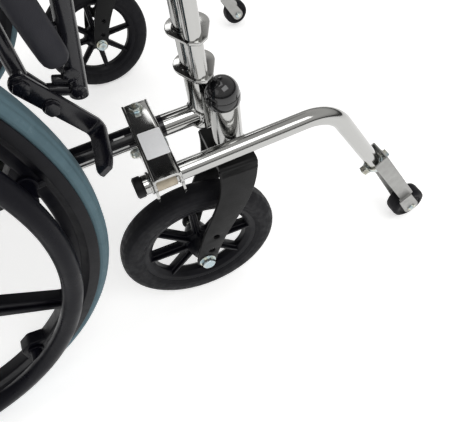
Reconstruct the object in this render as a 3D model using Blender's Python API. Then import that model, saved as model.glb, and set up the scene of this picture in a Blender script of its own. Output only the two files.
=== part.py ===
"""A folding manual wheelchair with front anti-tippers.

Metres, +X forward, +Y to the rider's left, +Z up. Every place below is measured from the point on the
ground under the rear axle. The whole chair is then shifted along X, so that the origin of the model is
the middle of its footprint. The right side is built once, and the left side is its mirror image.
"""

import bmesh
import bpy
from math import atan2, cos, pi, radians, sin
from mathutils import Matrix, Vector

# Frame tubing
TUBE = 0.0111  # radius of the frame tubes
SIDES = 12  # flats round a frame tube
FRAME_Y = 0.243  # from the middle of the chair to the middle of a side frame
GAP = 0.0003  # between pieces that touch
RAIL_Z = 0.470  # upper side rail
LOWER_Z = 0.287  # lower side rail
UPRIGHT_X = 0.4306  # front upright
UPRIGHT_FOOT = 0.2735
RAIL_BEND = 0.050
CANE_FOOT = 0.266
CANE_BEND = 0.045
HANDLE_Z = 0.925
HANDLE_REAR = -0.150

# Wheels
REAR_RADIUS = 0.305
REAR_Y = 0.300
REAR_STEPS = 36
SPOKE_COUNT = 9
FIRST_SPOKE = radians(6.5)
HUB_RADIUS = 0.030
HANDRIM_RADIUS = 0.262
HANDRIM_TUBE = 0.010
HANDRIM_Y = 0.335
STANDOFF_COUNT = 6
FIRST_STANDOFF = radians(7.7)
STANDOFF_REACH = 0.265  # from the middle of the wheel to each of the handrim's standoffs
RIM_HALF, WEB_HALF = 0.0145, 0.0085  # half the width of the rim at its lips, and inside them
BOSS_INSIDE, BOSS_OUTSIDE, BOSS_HALF = 0.2505, 0.2730, 0.0115
CASTER_RADIUS = 0.1016
CASTER_STEPS = 24
CASTER_SPOKES = 8
STEM_X = 0.4470
STEM_Y = 0.2665
TRAIL = 0.0573
CASTER_TOE = radians(3.6)
HOUSING = 0.0157
HOUSING_LOW = 0.2556
HOUSING_TOP = 0.3125
CROWN_TOP = 0.2550
BLADE_INSIDE = 0.0300
BLADE_OUTSIDE = 0.0340
CASTER_HUB = 0.0215  # half the width of the hub
BLADE_TOP, BLADE_FOOT = 0.0212, 0.0125  # half the width of a fork blade at its two ends
SPARE_HOLES = ((0.0085, 0.0180), (0.0175, 0.0425))  # forward of the axle, and above it

# Anti-tipper
TIPPER_Y = 0.295
TIPPER_Z = 0.2735
TIPPER_TUBE = 0.0095
TIPPER_REAR = 0.3465
TIPPER_CORNER = 0.5515
TIPPER_BEND = 0.055
TIPPER_ANGLE = radians(59)
TIPPER_TUBE_LENGTH = 0.150  # from the corner to the lower end of the tube
TIPPER_WHEEL_REACH = 0.282  # from the corner to the little wheel's axle
TIPPER_WHEEL = 0.0245
COLLAR = 0.0120  # the clamp round the end of the tube
LEG_FRONT = 0.0155  # from the middle of the tube to the face of the leg's web
LEG_WALL = 0.0018
LEG_AXLE = 0.0010  # how far the little wheel's axle lies ahead of the tube's line
TIPPER_WHEEL_Y = 0.2985
SLIDE_UP, SLIDE_DOWN = 0.045, 0.008
CLAMP_BACK = 0.008  # from the end of the tube to the middle of its clamp
CHANNEL_REAR, CHANNEL_FRONT = 0.3540, 0.3810
CHANNEL_TOP = 0.3030
CHANNEL_WALL = 0.0025
CHANNEL_TOE = radians(2.0)

# Folding seat frame
SEAT_RAIL_Y = 0.2175
SEAT_RAIL_Z = 0.478
BRACE_TUBE = 0.0125
BRACE_X = 0.215
BRACE_HALF_SPACING = 0.0132
BRACE_PIN = 0.005
LUG_WALL, LUG_HALF = 0.004, 0.009

# Wheel lock
LOCK_BAR_Y = 0.2705
LOCK_PIVOT = Vector((0.291, -LOCK_BAR_Y, 0.3985))
LOCK_LINK = Vector((0.304, -LOCK_BAR_Y, 0.373))
LOCK_ELBOW = Vector((0.329, -LOCK_BAR_Y, 0.337))
LEVER_PIVOT = Vector((0.321, -0.2675, 0.416))

# Arms and upholstery
POST = 0.0095
SOCKET_BORE = 0.0099
REAR_POST_X, FRONT_POST_X = 0.050, 0.372
ARM_FOOT = 0.4845
ARM_Z = 0.700
ARM_BEND = 0.035
PAD_Y = 0.258
PAD_REAR, PAD_FRONT = 0.055, 0.350  # where the pad's round ends begin
PAD_HALF = 0.0235

COLOURS = {
    "chrome": ((0.78, 0.79, 0.80), 0.12, 1.0),
    "zinc": ((0.62, 0.66, 0.66), 0.32, 1.0),
    "black_steel": ((0.022, 0.022, 0.024), 0.38, 0.3),
    "black_plastic": ((0.016, 0.016, 0.018), 0.42, 0.0),
    "dome_plastic": ((0.008, 0.008, 0.009), 0.10, 0.0),
    "grey_rubber": ((0.060, 0.062, 0.068), 0.62, 0.0),
    "tyre_grey": ((0.135, 0.200, 0.225), 0.68, 0.0),
    "tyre_black": ((0.030, 0.031, 0.034), 0.66, 0.0),
    "handrim_black": ((0.020, 0.021, 0.026), 0.36, 0.2),
    "cast_silver": ((0.60, 0.60, 0.58), 0.42, 0.9),
    "upholstery": ((0.014, 0.014, 0.016), 0.80, 0.0),
    "pad_vinyl": ((0.018, 0.018, 0.020), 0.55, 0.0),
}


def clear_scene():
    for found in list(bpy.data.objects):
        bpy.data.objects.remove(found)


def material(name):
    made = bpy.data.materials.get(name)
    if made:
        return made
    colour, roughness, metallic = COLOURS[name]
    made = bpy.data.materials.new(name)
    made.use_nodes = True
    shader = made.node_tree.nodes["Principled BSDF"]
    shader.inputs["Base Color"].default_value = (*colour, 1)
    shader.inputs["Roughness"].default_value = roughness
    shader.inputs["Metallic"].default_value = metallic
    return made


# Shapes. Each function returns a loose object, which fuse() or node() uses up.


def loose(bm):
    """An object that holds this bmesh, its faces turned outwards."""
    bmesh.ops.recalc_face_normals(bm, faces=bm.faces)
    mesh = bpy.data.meshes.new("shape")
    bm.to_mesh(mesh)
    bm.free()
    made = bpy.data.objects.new("shape", mesh)
    bpy.context.scene.collection.objects.link(made)
    return made


def skin(rings, closed=False):
    """A solid through rings of points. The two end rings are capped, or joined if the solid is closed."""
    bm = bmesh.new()
    loops = [[bm.verts.new(point) for point in ring] for ring in rings]
    count = len(loops[0])
    pairs = list(zip(loops, loops[1:]))
    if closed:
        pairs.append((loops[-1], loops[0]))
    for first, second in pairs:
        for i in range(count):
            j = (i + 1) % count
            bm.faces.new((first[i], first[j], second[j], second[i]))
    if not closed:
        bm.faces.new(loops[0])
        bm.faces.new(loops[-1])
    return loose(bm)


def square_to(direction):
    """Two unit directions at right angles to this one, the first as level as it can be."""
    direction = direction.normalized()
    hint = Vector((0, 0, 1)) if abs(direction.z) < 0.9 else Vector((1, 0, 0))
    first = direction.cross(hint).normalized()
    return first, direction.cross(first).normalized()


def sweep(path, radius, sides=SIDES):
    """A round bar along a path, mitred at its corners."""
    points = [Vector(p) for p in path]
    first, second = square_to(points[1] - points[0])
    rings = []
    for i, point in enumerate(points):
        before = (point - points[i - 1]).normalized() if i else None
        after = (points[i + 1] - point).normalized() if i + 1 < len(points) else before
        before = before or after
        axis = (before + after).normalized()
        stretch = 1 / max(0.3, axis.dot(after))
        turn = before.rotation_difference(after)
        bend = before.cross(after)
        across = bend.cross(axis).normalized() if bend.length > 1e-9 else None
        ring = []
        for k in range(sides):
            angle = 2 * pi * (k + 0.5) / sides
            offset = radius * (cos(angle) * first + sin(angle) * second)
            offset -= axis * offset.dot(axis)
            if across:
                offset = offset.normalized() * radius
                offset += across * offset.dot(across) * (stretch - 1)
            ring.append(point + offset)
        rings.append(ring)
        first.rotate(turn)
        second.rotate(turn)
    return skin(rings)


def rod(start, end, radius, sides=10):
    return sweep([start, end], radius, sides)


def filleted(corners, radius, steps=5):
    """A path through these corners, each inner corner rounded to the radius."""
    corners = [Vector(c) for c in corners]
    path = [corners[0]]
    for before, corner, after in zip(corners, corners[1:], corners[2:]):
        back, on = (before - corner).normalized(), (after - corner).normalized()
        half = back.angle(on) / 2
        centre = corner + (back + on).normalized() * (radius / sin(half))
        start = corner + back * (radius / (sin(half) / cos(half))) - centre
        end = corner + on * (radius / (sin(half) / cos(half))) - centre
        for i in range(steps + 1):
            arm = start.slerp(end, i / steps)
            path.append(centre + arm.normalized() * radius)
    path.append(corners[-1])
    return path


def turned(profile, centre, steps, axis="Y", whole_flats=False):
    """A profile of (radius, height) points turned round an axis through the centre.

    A profile that starts and ends on the axis makes a solid, and any other closes on itself as a ring.
    With whole_flats the radii are to the middles of the flats, and a flat lies at the very bottom.
    """
    scale = 1 / cos(pi / steps) if whole_flats else 1
    bm = bmesh.new()
    rings = []
    for radius, height in profile:
        ring = []
        for k in range(1 if radius == 0 else steps):
            angle = 2 * pi * (k + 0.5) / steps
            u, v = radius * scale * cos(angle), radius * scale * sin(angle)
            place = {"Y": (u, height, v), "Z": (u, v, height), "X": (height, u, v)}[axis]
            ring.append(bm.verts.new(Vector(centre) + Vector(place)))
        rings.append(ring)
    pairs = list(zip(rings, rings[1:]))
    if profile[0][0] > 0:
        pairs.append((rings[-1], rings[0]))
    for first, second in pairs:
        for k in range(steps):
            around = [first[k % len(first)], first[(k + 1) % len(first)]]
            around += [second[(k + 1) % len(second)], second[k % len(second)]]
            bm.faces.new(list(dict.fromkeys(around)))
    return loose(bm)


def slab(outline, low, high, axis="Y"):
    """An outline pulled straight along an axis. Its points are (x, z) for Y, (x, y) for Z, (y, z) for X."""
    rings = []
    for height in (low, high):
        place = {"Y": lambda u, v: (u, height, v), "Z": lambda u, v: (u, v, height)}
        place["X"] = lambda u, v: (height, u, v)
        rings.append([Vector(place[axis](u, v)) for u, v in outline])
    return skin(rings)


def block(low, high):
    outline = [(low[0], low[1]), (high[0], low[1]), (high[0], high[1]), (low[0], high[1])]
    return slab(outline, low[2], high[2], "Z")


def turn_about(shape, pivot, angle, axis):
    """Turns a loose shape's mesh about a point."""
    there = Matrix.Translation(Vector(pivot))
    shape.data.transform(there @ Matrix.Rotation(angle, 4, axis) @ there.inverted())
    return shape


def hexagon_bolt(start, end, radius, head, head_length):
    """A bolt from start to end, with a six-sided head outside start and a nut outside end."""
    start, end = Vector(start), Vector(end)
    way = (end - start).normalized()
    shapes = [rod(start - way * 0.001, end + way * 0.001, radius, 8)]
    shapes.append(rod(start - way * head_length, start, head, 6))
    shapes.append(rod(end, end + way * head_length, head, 6))
    return shapes


# Nodes


def modified(shape, tool, operation):
    """The shape after one Boolean with a tool, which is used up."""
    change = shape.modifiers.new("change", "BOOLEAN")
    change.operation = operation
    change.solver = "EXACT"
    change.object = tool
    bpy.context.view_layer.update()
    graph = bpy.context.evaluated_depsgraph_get()
    mesh = bpy.data.meshes.new_from_object(shape.evaluated_get(graph))
    shape.modifiers.remove(change)
    shape.data = mesh
    bpy.data.objects.remove(tool)
    return shape


def fuse(shapes, cuts=()):
    """One solid from several that overlap, less the cuts."""
    shape = shapes[0]
    for other in shapes[1:]:
        shape = modified(shape, other, "UNION")
    for cut in cuts:
        shape = modified(shape, cut, "DIFFERENCE")
    return shape


def node(name, shape, finish, parent):
    """Names a finished shape, gives it its material, and hangs it on an empty whose place is its origin."""
    shape.name = name
    shape.data.name = name
    shape.data.materials.clear()
    shape.data.materials.append(material(finish))
    for face in shape.data.polygons:
        face.material_index = 0
    shape.data.shade_smooth()
    shape.data.set_sharp_from_angle(angle=radians(35))
    shape.data.transform(Matrix.Translation(-whereabouts(parent)))
    shape.parent = parent
    return shape


def pivot(name, place, parent=None):
    """An empty on a joint's axis."""
    made = bpy.data.objects.new(name, None)
    made.empty_display_size = 0.03
    bpy.context.scene.collection.objects.link(made)
    made.parent = parent
    made.location = Vector(place) - (whereabouts(parent) if parent else Vector())
    return made


def whereabouts(empty):
    """An empty's place from the point under the rear axle."""
    place = Vector()
    while empty is not None and empty.parent is not None:
        place += empty.location
        empty = empty.parent
    return place


def on_right(x, y, z):
    """A point on the right-hand side, given how far it is from the middle of the chair."""
    return Vector((x, -y, z))


def arc_points(centre, radius, start, end, steps):
    turns = [start + (end - start) * i / steps for i in range(steps + 1)]
    return [(centre[0] + radius * cos(t), centre[1] + radius * sin(t)) for t in turns]


# The right-hand side frame


def back_cane(frame):
    bottom, corner = on_right(0, FRAME_Y, CANE_FOOT), on_right(0, FRAME_Y, HANDLE_Z)
    end = on_right(HANDLE_REAR, FRAME_Y, HANDLE_Z)
    tube = sweep(filleted([bottom, corner, end], CANE_BEND), TUBE)
    sleeve = rod(on_right(0, 0.226, REAR_RADIUS), on_right(0, 0.2585, REAR_RADIUS), 0.0140, 12)
    bore = rod(on_right(0, 0.20, REAR_RADIUS), on_right(0, 0.28, REAR_RADIUS), 0.0064, 12)
    return node("back_cane_right", fuse([tube, sleeve], [bore]), "chrome", frame)


def teardrop(height):
    """A hinge plate round the front upright and the leg rest's receiver, its tip pointing outwards."""
    outline = arc_points((UPRIGHT_X + 0.003, -FRAME_Y + 0.002), 0.0185, radians(-20), radians(200), 9)
    outline += [(UPRIGHT_X - 0.008, -0.268), (UPRIGHT_X + 0.001, -0.2735), (UPRIGHT_X + 0.010, -0.268)]
    return slab(outline, height - 0.0015, height + 0.0015, "Z")


def front_frame(frame):
    """The upper side rail, bent down into the front upright, with all that is welded to it."""
    rear = on_right(TUBE + 2 * GAP, FRAME_Y, RAIL_Z)
    corner = on_right(UPRIGHT_X, FRAME_Y, RAIL_Z)
    foot = on_right(UPRIGHT_X, FRAME_Y, UPRIGHT_FOOT)
    shapes = [sweep(filleted([rear, corner, foot], RAIL_BEND), TUBE)]
    housing = [(0, HOUSING_LOW), (HOUSING, HOUSING_LOW), (HOUSING, HOUSING_TOP), (0, HOUSING_TOP)]
    shapes.append(turned(housing, on_right(STEM_X, STEM_Y, 0), 16, "Z"))
    web = block((UPRIGHT_X, -STEM_Y, 0.263), (UPRIGHT_X + 0.005, -FRAME_Y, 0.297))
    shapes.append(turn_about(web, on_right(UPRIGHT_X, FRAME_Y, 0.28), radians(37), "Z"))
    receiver = UPRIGHT_X - 0.0005
    shapes.append(rod(on_right(receiver, 0.2615, 0.3405), on_right(receiver, 0.2615, 0.440), 0.0078, 10))
    shapes += [teardrop(height) for height in (0.343, 0.381, 0.432)]
    for post in (REAR_POST_X, FRONT_POST_X):
        shapes.append(rod(on_right(post, FRAME_Y, RAIL_Z), on_right(post, FRAME_Y, 0.520), 0.0128, 12))
    for saddle in (0.095, 0.385):
        shapes.append(block((saddle - 0.015, -0.240, 0.4600), (saddle + 0.015, -0.2030, 0.4665)))
        shapes.append(block((saddle - 0.015, -0.2055, 0.4610), (saddle + 0.015, -0.2030, 0.4740)))
    cuts = [rod(on_right(STEM_X, STEM_Y, 0.24), on_right(STEM_X, STEM_Y, 0.32), 0.0085, 12)]
    for post in (REAR_POST_X, FRONT_POST_X):
        cuts.append(rod(on_right(post, FRAME_Y, 0.4835), on_right(post, FRAME_Y, 0.53), SOCKET_BORE, 12))
    return node("front_frame_right", fuse(shapes, cuts), "chrome", frame)


def lower_tube(frame):
    """The lower side rail, with the two lugs and the pin that a cross brace swings on."""
    start, end = on_right(0.0150, FRAME_Y, LOWER_Z), on_right(UPRIGHT_X - TUBE - 2 * GAP, FRAME_Y, LOWER_Z)
    shapes = [sweep([start, end], TUBE)]
    for lug in (BRACE_X - 0.050, BRACE_X + 0.046):
        high = (lug + LUG_WALL, -SEAT_RAIL_Y + LUG_HALF, LOWER_Z + LUG_HALF)
        shapes.append(block((lug, -FRAME_Y, LOWER_Z - LUG_HALF), high))
    pin_start = on_right(BRACE_X - 0.052, SEAT_RAIL_Y, LOWER_Z)
    pin_end = on_right(BRACE_X + 0.052, SEAT_RAIL_Y, LOWER_Z)
    shapes.append(rod(pin_start, pin_end, BRACE_PIN, 10))
    return node("lower_side_tube_right", fuse(shapes), "chrome", frame)


def push_grip(frame):
    """A ribbed hand grip over the end of the back cane, with a flange at its front."""
    inner = TUBE + GAP
    profile = [(inner, -0.145), (0.0155, -0.145), (0.0170, -0.135), (0.0150, -0.105)]
    profile += [(0.0165, -0.075), (0.0155, -0.058), (0.0210, -0.056), (0.0210, -0.052), (inner, -0.052)]
    grip = turned(profile, on_right(0, FRAME_Y, HANDLE_Z), 12, "X")
    return node("push_grip_right", grip, "grey_rubber", frame)


def caster_cap(frame):
    """The dome that closes the top of the caster housing."""
    skirt, shelf = HOUSING + 2 * GAP, HOUSING_TOP + GAP
    centre, radius = HOUSING_TOP + 0.0080, 0.0165
    profile = [(0, shelf), (skirt, shelf), (skirt, shelf - 0.0015), (0.0169, shelf - 0.0015)]
    profile += [(0.0169, centre)]
    profile += [(r, z + centre) for r, z in arc_points((0, 0), radius, 0, pi / 2, 5)[:-1]]
    profile += [(0, centre + radius)]
    dome = turned(profile, on_right(STEM_X, STEM_Y, 0), 16, "Z")
    return node("caster_cap_right", dome, "dome_plastic", frame)


def stem_bearing(frame):
    """The bearing at the foot of the housing, which the fork's stem turns in."""
    profile = [(0.0064, 0.2560), (0.0082, 0.2560), (0.0082, 0.2660), (0.0064, 0.2660)]
    ring = turned(profile, on_right(STEM_X, STEM_Y, 0), 12, "Z")
    return node("stem_bearing_right", ring, "zinc", frame)


def rear_axle(frame):
    """The axle bolt, its nut inside the frame and its head outside the hub."""
    z = REAR_RADIUS
    shapes = [rod(on_right(0, 0.2190, z), on_right(0, 0.3250, z), 0.0060, 12)]
    shapes.append(rod(on_right(0, 0.2190, z), on_right(0, 0.2255, z), 0.0105, 6))
    shapes.append(rod(on_right(0, 0.3235, z), on_right(0, 0.3290, z), 0.0105, 6))
    return node("rear_axle_right", fuse(shapes), "zinc", frame)


# Wheels


def standoff_turns():
    """The angle of each standoff, which holds the handrim off a boss inside the rim."""
    return [FIRST_STANDOFF + 2 * pi * i / STANDOFF_COUNT for i in range(STANDOFF_COUNT)]


def rear_wheel(parent):
    centre = on_right(0, REAR_Y, REAR_RADIUS)
    hub = pivot("rear_wheel_axis_right", centre, parent)
    tyre = [(0.2812, -0.0100), (0.2812, 0.0100), (0.2905, 0.0105), (0.2965, 0.0130), (0.3015, 0.0110)]
    tyre += [(0.3050, 0.0060), (0.3050, -0.0060), (0.3015, -0.0110), (0.2965, -0.0130), (0.2905, -0.0105)]
    node("rear_tyre_right", turned(tyre, centre, REAR_STEPS, whole_flats=True), "tyre_grey", hub)

    side = [(0.2660, WEB_HALF), (0.2765, WEB_HALF), (0.2830, RIM_HALF), (0.2900, RIM_HALF)]
    side += [(0.2900, 0.0110), (0.2808, 0.0106)]
    ring = side + [(radius, -height) for radius, height in reversed(side)]
    shapes = [turned(ring, centre, REAR_STEPS, whole_flats=True)]
    for i in range(SPOKE_COUNT):
        outline = [(0.020, -0.013), (0.272, -0.009), (0.272, 0.009), (0.020, 0.013)]
        spoke = slab(outline, -0.007, 0.007)
        spoke.data.transform(Matrix.Translation(centre))
        shapes.append(turn_about(spoke, centre, -FIRST_SPOKE - 2 * pi * i / SPOKE_COUNT, "Y"))
    for angle in standoff_turns():
        outline = [(BOSS_INSIDE, -BOSS_HALF), (BOSS_OUTSIDE, -BOSS_HALF)]
        outline += [(BOSS_OUTSIDE, BOSS_HALF), (BOSS_INSIDE, BOSS_HALF)]
        boss = slab(outline, 0.0003 - WEB_HALF, WEB_HALF - 0.0003)
        boss.data.transform(Matrix.Translation(centre))
        shapes.append(turn_about(boss, centre, -angle, "Y"))
    barrel = [(0, -0.0225), (HUB_RADIUS - 0.004, -0.0225), (HUB_RADIUS, -0.012), (HUB_RADIUS, 0.030)]
    barrel += [(HUB_RADIUS - 0.008, 0.0405), (0, 0.0405)]
    shapes.append(turned(barrel, centre, 16))
    bore = rod(centre - Vector((0, 0.06, 0)), centre + Vector((0, 0.06, 0)), 0.0063, 12)
    node("rear_rim_right", fuse(shapes, [bore]), "black_plastic", hub)

    ring = arc_points((HANDRIM_RADIUS, 0), HANDRIM_TUBE, 0, 2 * pi, 8)[:-1]
    middle = on_right(0, HANDRIM_Y, REAR_RADIUS)
    shapes = [turned(ring, middle, REAR_STEPS)]
    for angle in standoff_turns():
        out = Vector((cos(angle), 0, sin(angle))) * STANDOFF_REACH
        shapes.append(rod(middle + out, centre + out - Vector((0, WEB_HALF + GAP, 0)), 0.0065, 8))
    node("handrim_right", fuse(shapes), "handrim_black", hub)


def blade_outline():
    """A fork blade from the crown to the axle, as a band of changing width along a smooth curve."""
    foot = Vector((-TRAIL, CASTER_RADIUS - CROWN_TOP))
    ways = [Vector((-0.0025, -0.0040)), Vector((-0.0025, -0.0680)), Vector((-0.0360, -0.0780)), foot]
    front, rear = [], []
    steps = 8
    for i in range(steps + 1):
        t = i / steps
        share = [(1 - t) ** 3, 3 * t * (1 - t) ** 2, 3 * t * t * (1 - t), t**3]
        slope = [-((1 - t) ** 2), (1 - t) * (1 - 3 * t), t * (2 - 3 * t), t * t]
        point = sum((w * s for w, s in zip(ways, share)), Vector((0, 0)))
        along = sum((w * s for w, s in zip(ways, slope)), Vector((0, 0))).normalized()
        across = Vector((-along.y, along.x)) * (BLADE_TOP + (BLADE_FOOT - BLADE_TOP) * t)
        front.append(point + across)
        rear.append(point - across)
    start = atan2(*(rear[-1] - foot).yx)
    round_end = [Vector(p) for p in arc_points(foot, BLADE_FOOT, start, start + pi, 6)]
    outline = rear + round_end[1:-1] + front[::-1]
    return [(STEM_X + p.x, CROWN_TOP + p.y) for p in outline]


def caster(parent):
    stem = on_right(STEM_X, STEM_Y, CROWN_TOP)
    swivel = pivot("caster_swivel_right", stem, parent)
    axle = stem + Vector((-TRAIL, 0, CASTER_RADIUS - CROWN_TOP))
    outline = blade_outline()
    half = BLADE_OUTSIDE - 0.0005
    crown = [(-0.0215, -half), (0.0180, -half), (0.0180, half), (-0.0215, half)]
    crown = [(STEM_X + x, -STEM_Y + y) for x, y in crown]
    shapes = [slab(crown, CROWN_TOP - 0.012, CROWN_TOP, "Z")]
    for low, high in ((-BLADE_OUTSIDE, -BLADE_INSIDE), (BLADE_INSIDE, BLADE_OUTSIDE)):
        shapes.append(slab(outline, low - STEM_Y, high - STEM_Y))
    shapes.append(rod(stem - Vector((0, 0, 0.005)), stem + Vector((0, 0, 0.044)), 0.0060, 10))
    reach = Vector((0, 0.05, 0))
    cuts = [rod(axle - reach, axle + reach, 0.0043, 10)]
    for ahead, above in SPARE_HOLES:
        place = axle + Vector((ahead, 0, above))
        cuts.append(rod(place - reach, place + reach, 0.0040, 8))
    fork = turn_about(fuse(shapes, cuts), stem, -CASTER_TOE, "Z")
    node("caster_fork_right", fork, "black_steel", swivel)

    reach = Vector((0, BLADE_OUTSIDE + GAP, 0))
    shapes = hexagon_bolt(axle - reach, axle + reach, 0.0040, 0.0085, 0.0060)
    for way in (-1, 1):
        start = axle + Vector((0, way * (CASTER_HUB + GAP), 0))
        shapes.append(rod(start, axle + Vector((0, way * (BLADE_INSIDE - GAP), 0)), 0.0080, 10))
    bolt = fuse(shapes)
    node("caster_axle_right", turn_about(bolt, stem, -CASTER_TOE, "Z"), "zinc", swivel)

    spin = pivot("caster_wheel_axis_right", caster_centre(), swivel)
    side = [(0.0742, 0.0110), (0.0840, 0.0150), (0.0940, 0.0150), (0.0990, 0.0105), (CASTER_RADIUS, 0.0050)]
    tyre = [(radius, -height) for radius, height in side] + side[::-1]
    shape = turned(tyre, axle, CASTER_STEPS, whole_flats=True)
    node("caster_tyre_right", turn_about(shape, stem, -CASTER_TOE, "Z"), "tyre_black", spin)

    band = [(0.0640, -0.0110), (0.0640, 0.0110), (0.0738, 0.0110), (0.0738, -0.0110)]
    shapes = [turned(band, axle, CASTER_STEPS, whole_flats=True)]
    for i in range(CASTER_SPOKES):
        outline = [(0.010, -0.0045), (0.068, -0.0040), (0.068, 0.0040), (0.010, 0.0045)]
        spoke = slab(outline, -0.006, 0.006)
        spoke.data.transform(Matrix.Translation(axle))
        shapes.append(turn_about(spoke, axle, 2 * pi * i / CASTER_SPOKES, "Y"))
    barrel = [(0, -CASTER_HUB), (0.0130, -CASTER_HUB), (0.0160, -0.010), (0.0160, 0.010)]
    barrel += [(0.0130, CASTER_HUB), (0, CASTER_HUB)]
    shapes.append(turned(barrel, axle, 12))
    shape = fuse(shapes, [rod(axle - reach, axle + reach, 0.0044, 10)])
    node("caster_rim_right", turn_about(shape, stem, -CASTER_TOE, "Z"), "black_plastic", spin)


def caster_centre():
    """The middle of the caster wheel, which trails a little inwards."""
    return on_right(STEM_X - TRAIL * cos(CASTER_TOE), STEM_Y - TRAIL * sin(CASTER_TOE), CASTER_RADIUS)


# The anti-tipper


def tipper_way():
    """The direction of the anti-tipper's leg, forwards and down."""
    return Vector((cos(TIPPER_ANGLE), 0, -sin(TIPPER_ANGLE)))


def tipper_ahead():
    """Square to the leg, towards its front and upper side."""
    return Vector((sin(TIPPER_ANGLE), 0, cos(TIPPER_ANGLE)))


def tipper_corner():
    return on_right(TIPPER_CORNER, TIPPER_Y, TIPPER_Z)


def tipper_axle():
    axle = tipper_corner() + tipper_way() * TIPPER_WHEEL_REACH + tipper_ahead() * LEG_AXLE
    return Vector((axle.x, -TIPPER_WHEEL_Y, axle.z))


def channel_flange(x):
    """A side of the bracket's channel, with an ear round each of the two tubes."""
    outline = [(-0.212, CHANNEL_TOP), (-0.212, 0.292)]
    for y, z, low in ((FRAME_Y, LOWER_Z, 0.2575), (TIPPER_Y, TIPPER_Z, 0.2500)):
        outline += [(-y + 0.0185, z + 0.004), (-y + 0.0175, z - 0.006), (-y + 0.0080, low)]
        outline += [(-y - 0.0080, low), (-y - 0.0175, z - 0.006), (-y - 0.0185, z + 0.004)]
    outline += [(-0.322, 0.290), (-0.322, CHANNEL_TOP)]
    return slab(outline, x, x + CHANNEL_WALL, "X")


def anti_tip_bracket(frame):
    """The channel clamped to the lower side tube, which carries the anti-tipper's tube beside it."""
    shapes = [block((CHANNEL_REAR, -0.322, CHANNEL_TOP - CHANNEL_WALL), (CHANNEL_FRONT, -0.212, CHANNEL_TOP))]
    shapes += [channel_flange(CHANNEL_REAR), channel_flange(CHANNEL_FRONT - CHANNEL_WALL)]
    middle = (CHANNEL_REAR + CHANNEL_FRONT) / 2 - 0.001
    shapes.append(rod(on_right(middle, 0.224, 0.300), on_right(middle, 0.224, 0.307), 0.0060, 6))
    clamp = LOWER_Z - 0.0220
    start, end = on_right(CHANNEL_REAR, FRAME_Y, clamp), on_right(CHANNEL_FRONT, FRAME_Y, clamp)
    shapes += hexagon_bolt(start, end, 0.0030, 0.0060, 0.0065)
    cuts = []
    for y, z, radius in ((FRAME_Y, LOWER_Z, TUBE + GAP), (TIPPER_Y, TIPPER_Z, TIPPER_TUBE + GAP)):
        cuts.append(rod(on_right(0.33, y, z), on_right(0.40, y, z), radius, SIDES))
    shape = turn_about(fuse(shapes), on_right(CHANNEL_REAR, 0.322, 0), -CHANNEL_TOE, "Z")
    return node("anti_tip_bracket_right", fuse([shape], cuts), "chrome", frame)


def anti_tip_tube(frame):
    corner, end = tipper_corner(), tipper_corner() + tipper_way() * TIPPER_TUBE_LENGTH
    rear = on_right(TIPPER_REAR, TIPPER_Y, TIPPER_Z)
    tube = sweep(filleted([rear, corner, end], TIPPER_BEND), TIPPER_TUBE)
    node("anti_tip_tube_right", tube, "chrome", frame)

    cap_start = rear - Vector((0.0005, 0, 0))
    shape = rod(cap_start, cap_start - Vector((0.008, 0, 0)), 0.0105, SIDES)
    node("anti_tip_cap_right", shape, "black_plastic", frame)

    place, ahead = end - tipper_way() * CLAMP_BACK, tipper_ahead()
    shapes = [rod(place - tipper_way() * 0.007, place + tipper_way() * 0.006, COLLAR, SIDES)]
    shapes.append(rod(place + ahead * 0.0105, place + ahead * (LEG_FRONT + 0.0008), 0.0030, 8))
    shapes.append(rod(place + ahead * (LEG_FRONT + GAP), place + ahead * (LEG_FRONT + 0.0055), 0.0058, 6))
    shapes.append(rod(place - ahead * 0.0105, place - ahead * 0.0185, 0.0056, 6))
    opening = rod(place - tipper_way() * 0.03, place + tipper_way() * 0.03, TIPPER_TUBE + GAP, SIDES)
    node("anti_tip_clamp_right", fuse(shapes, [opening]), "zinc", frame)


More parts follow.
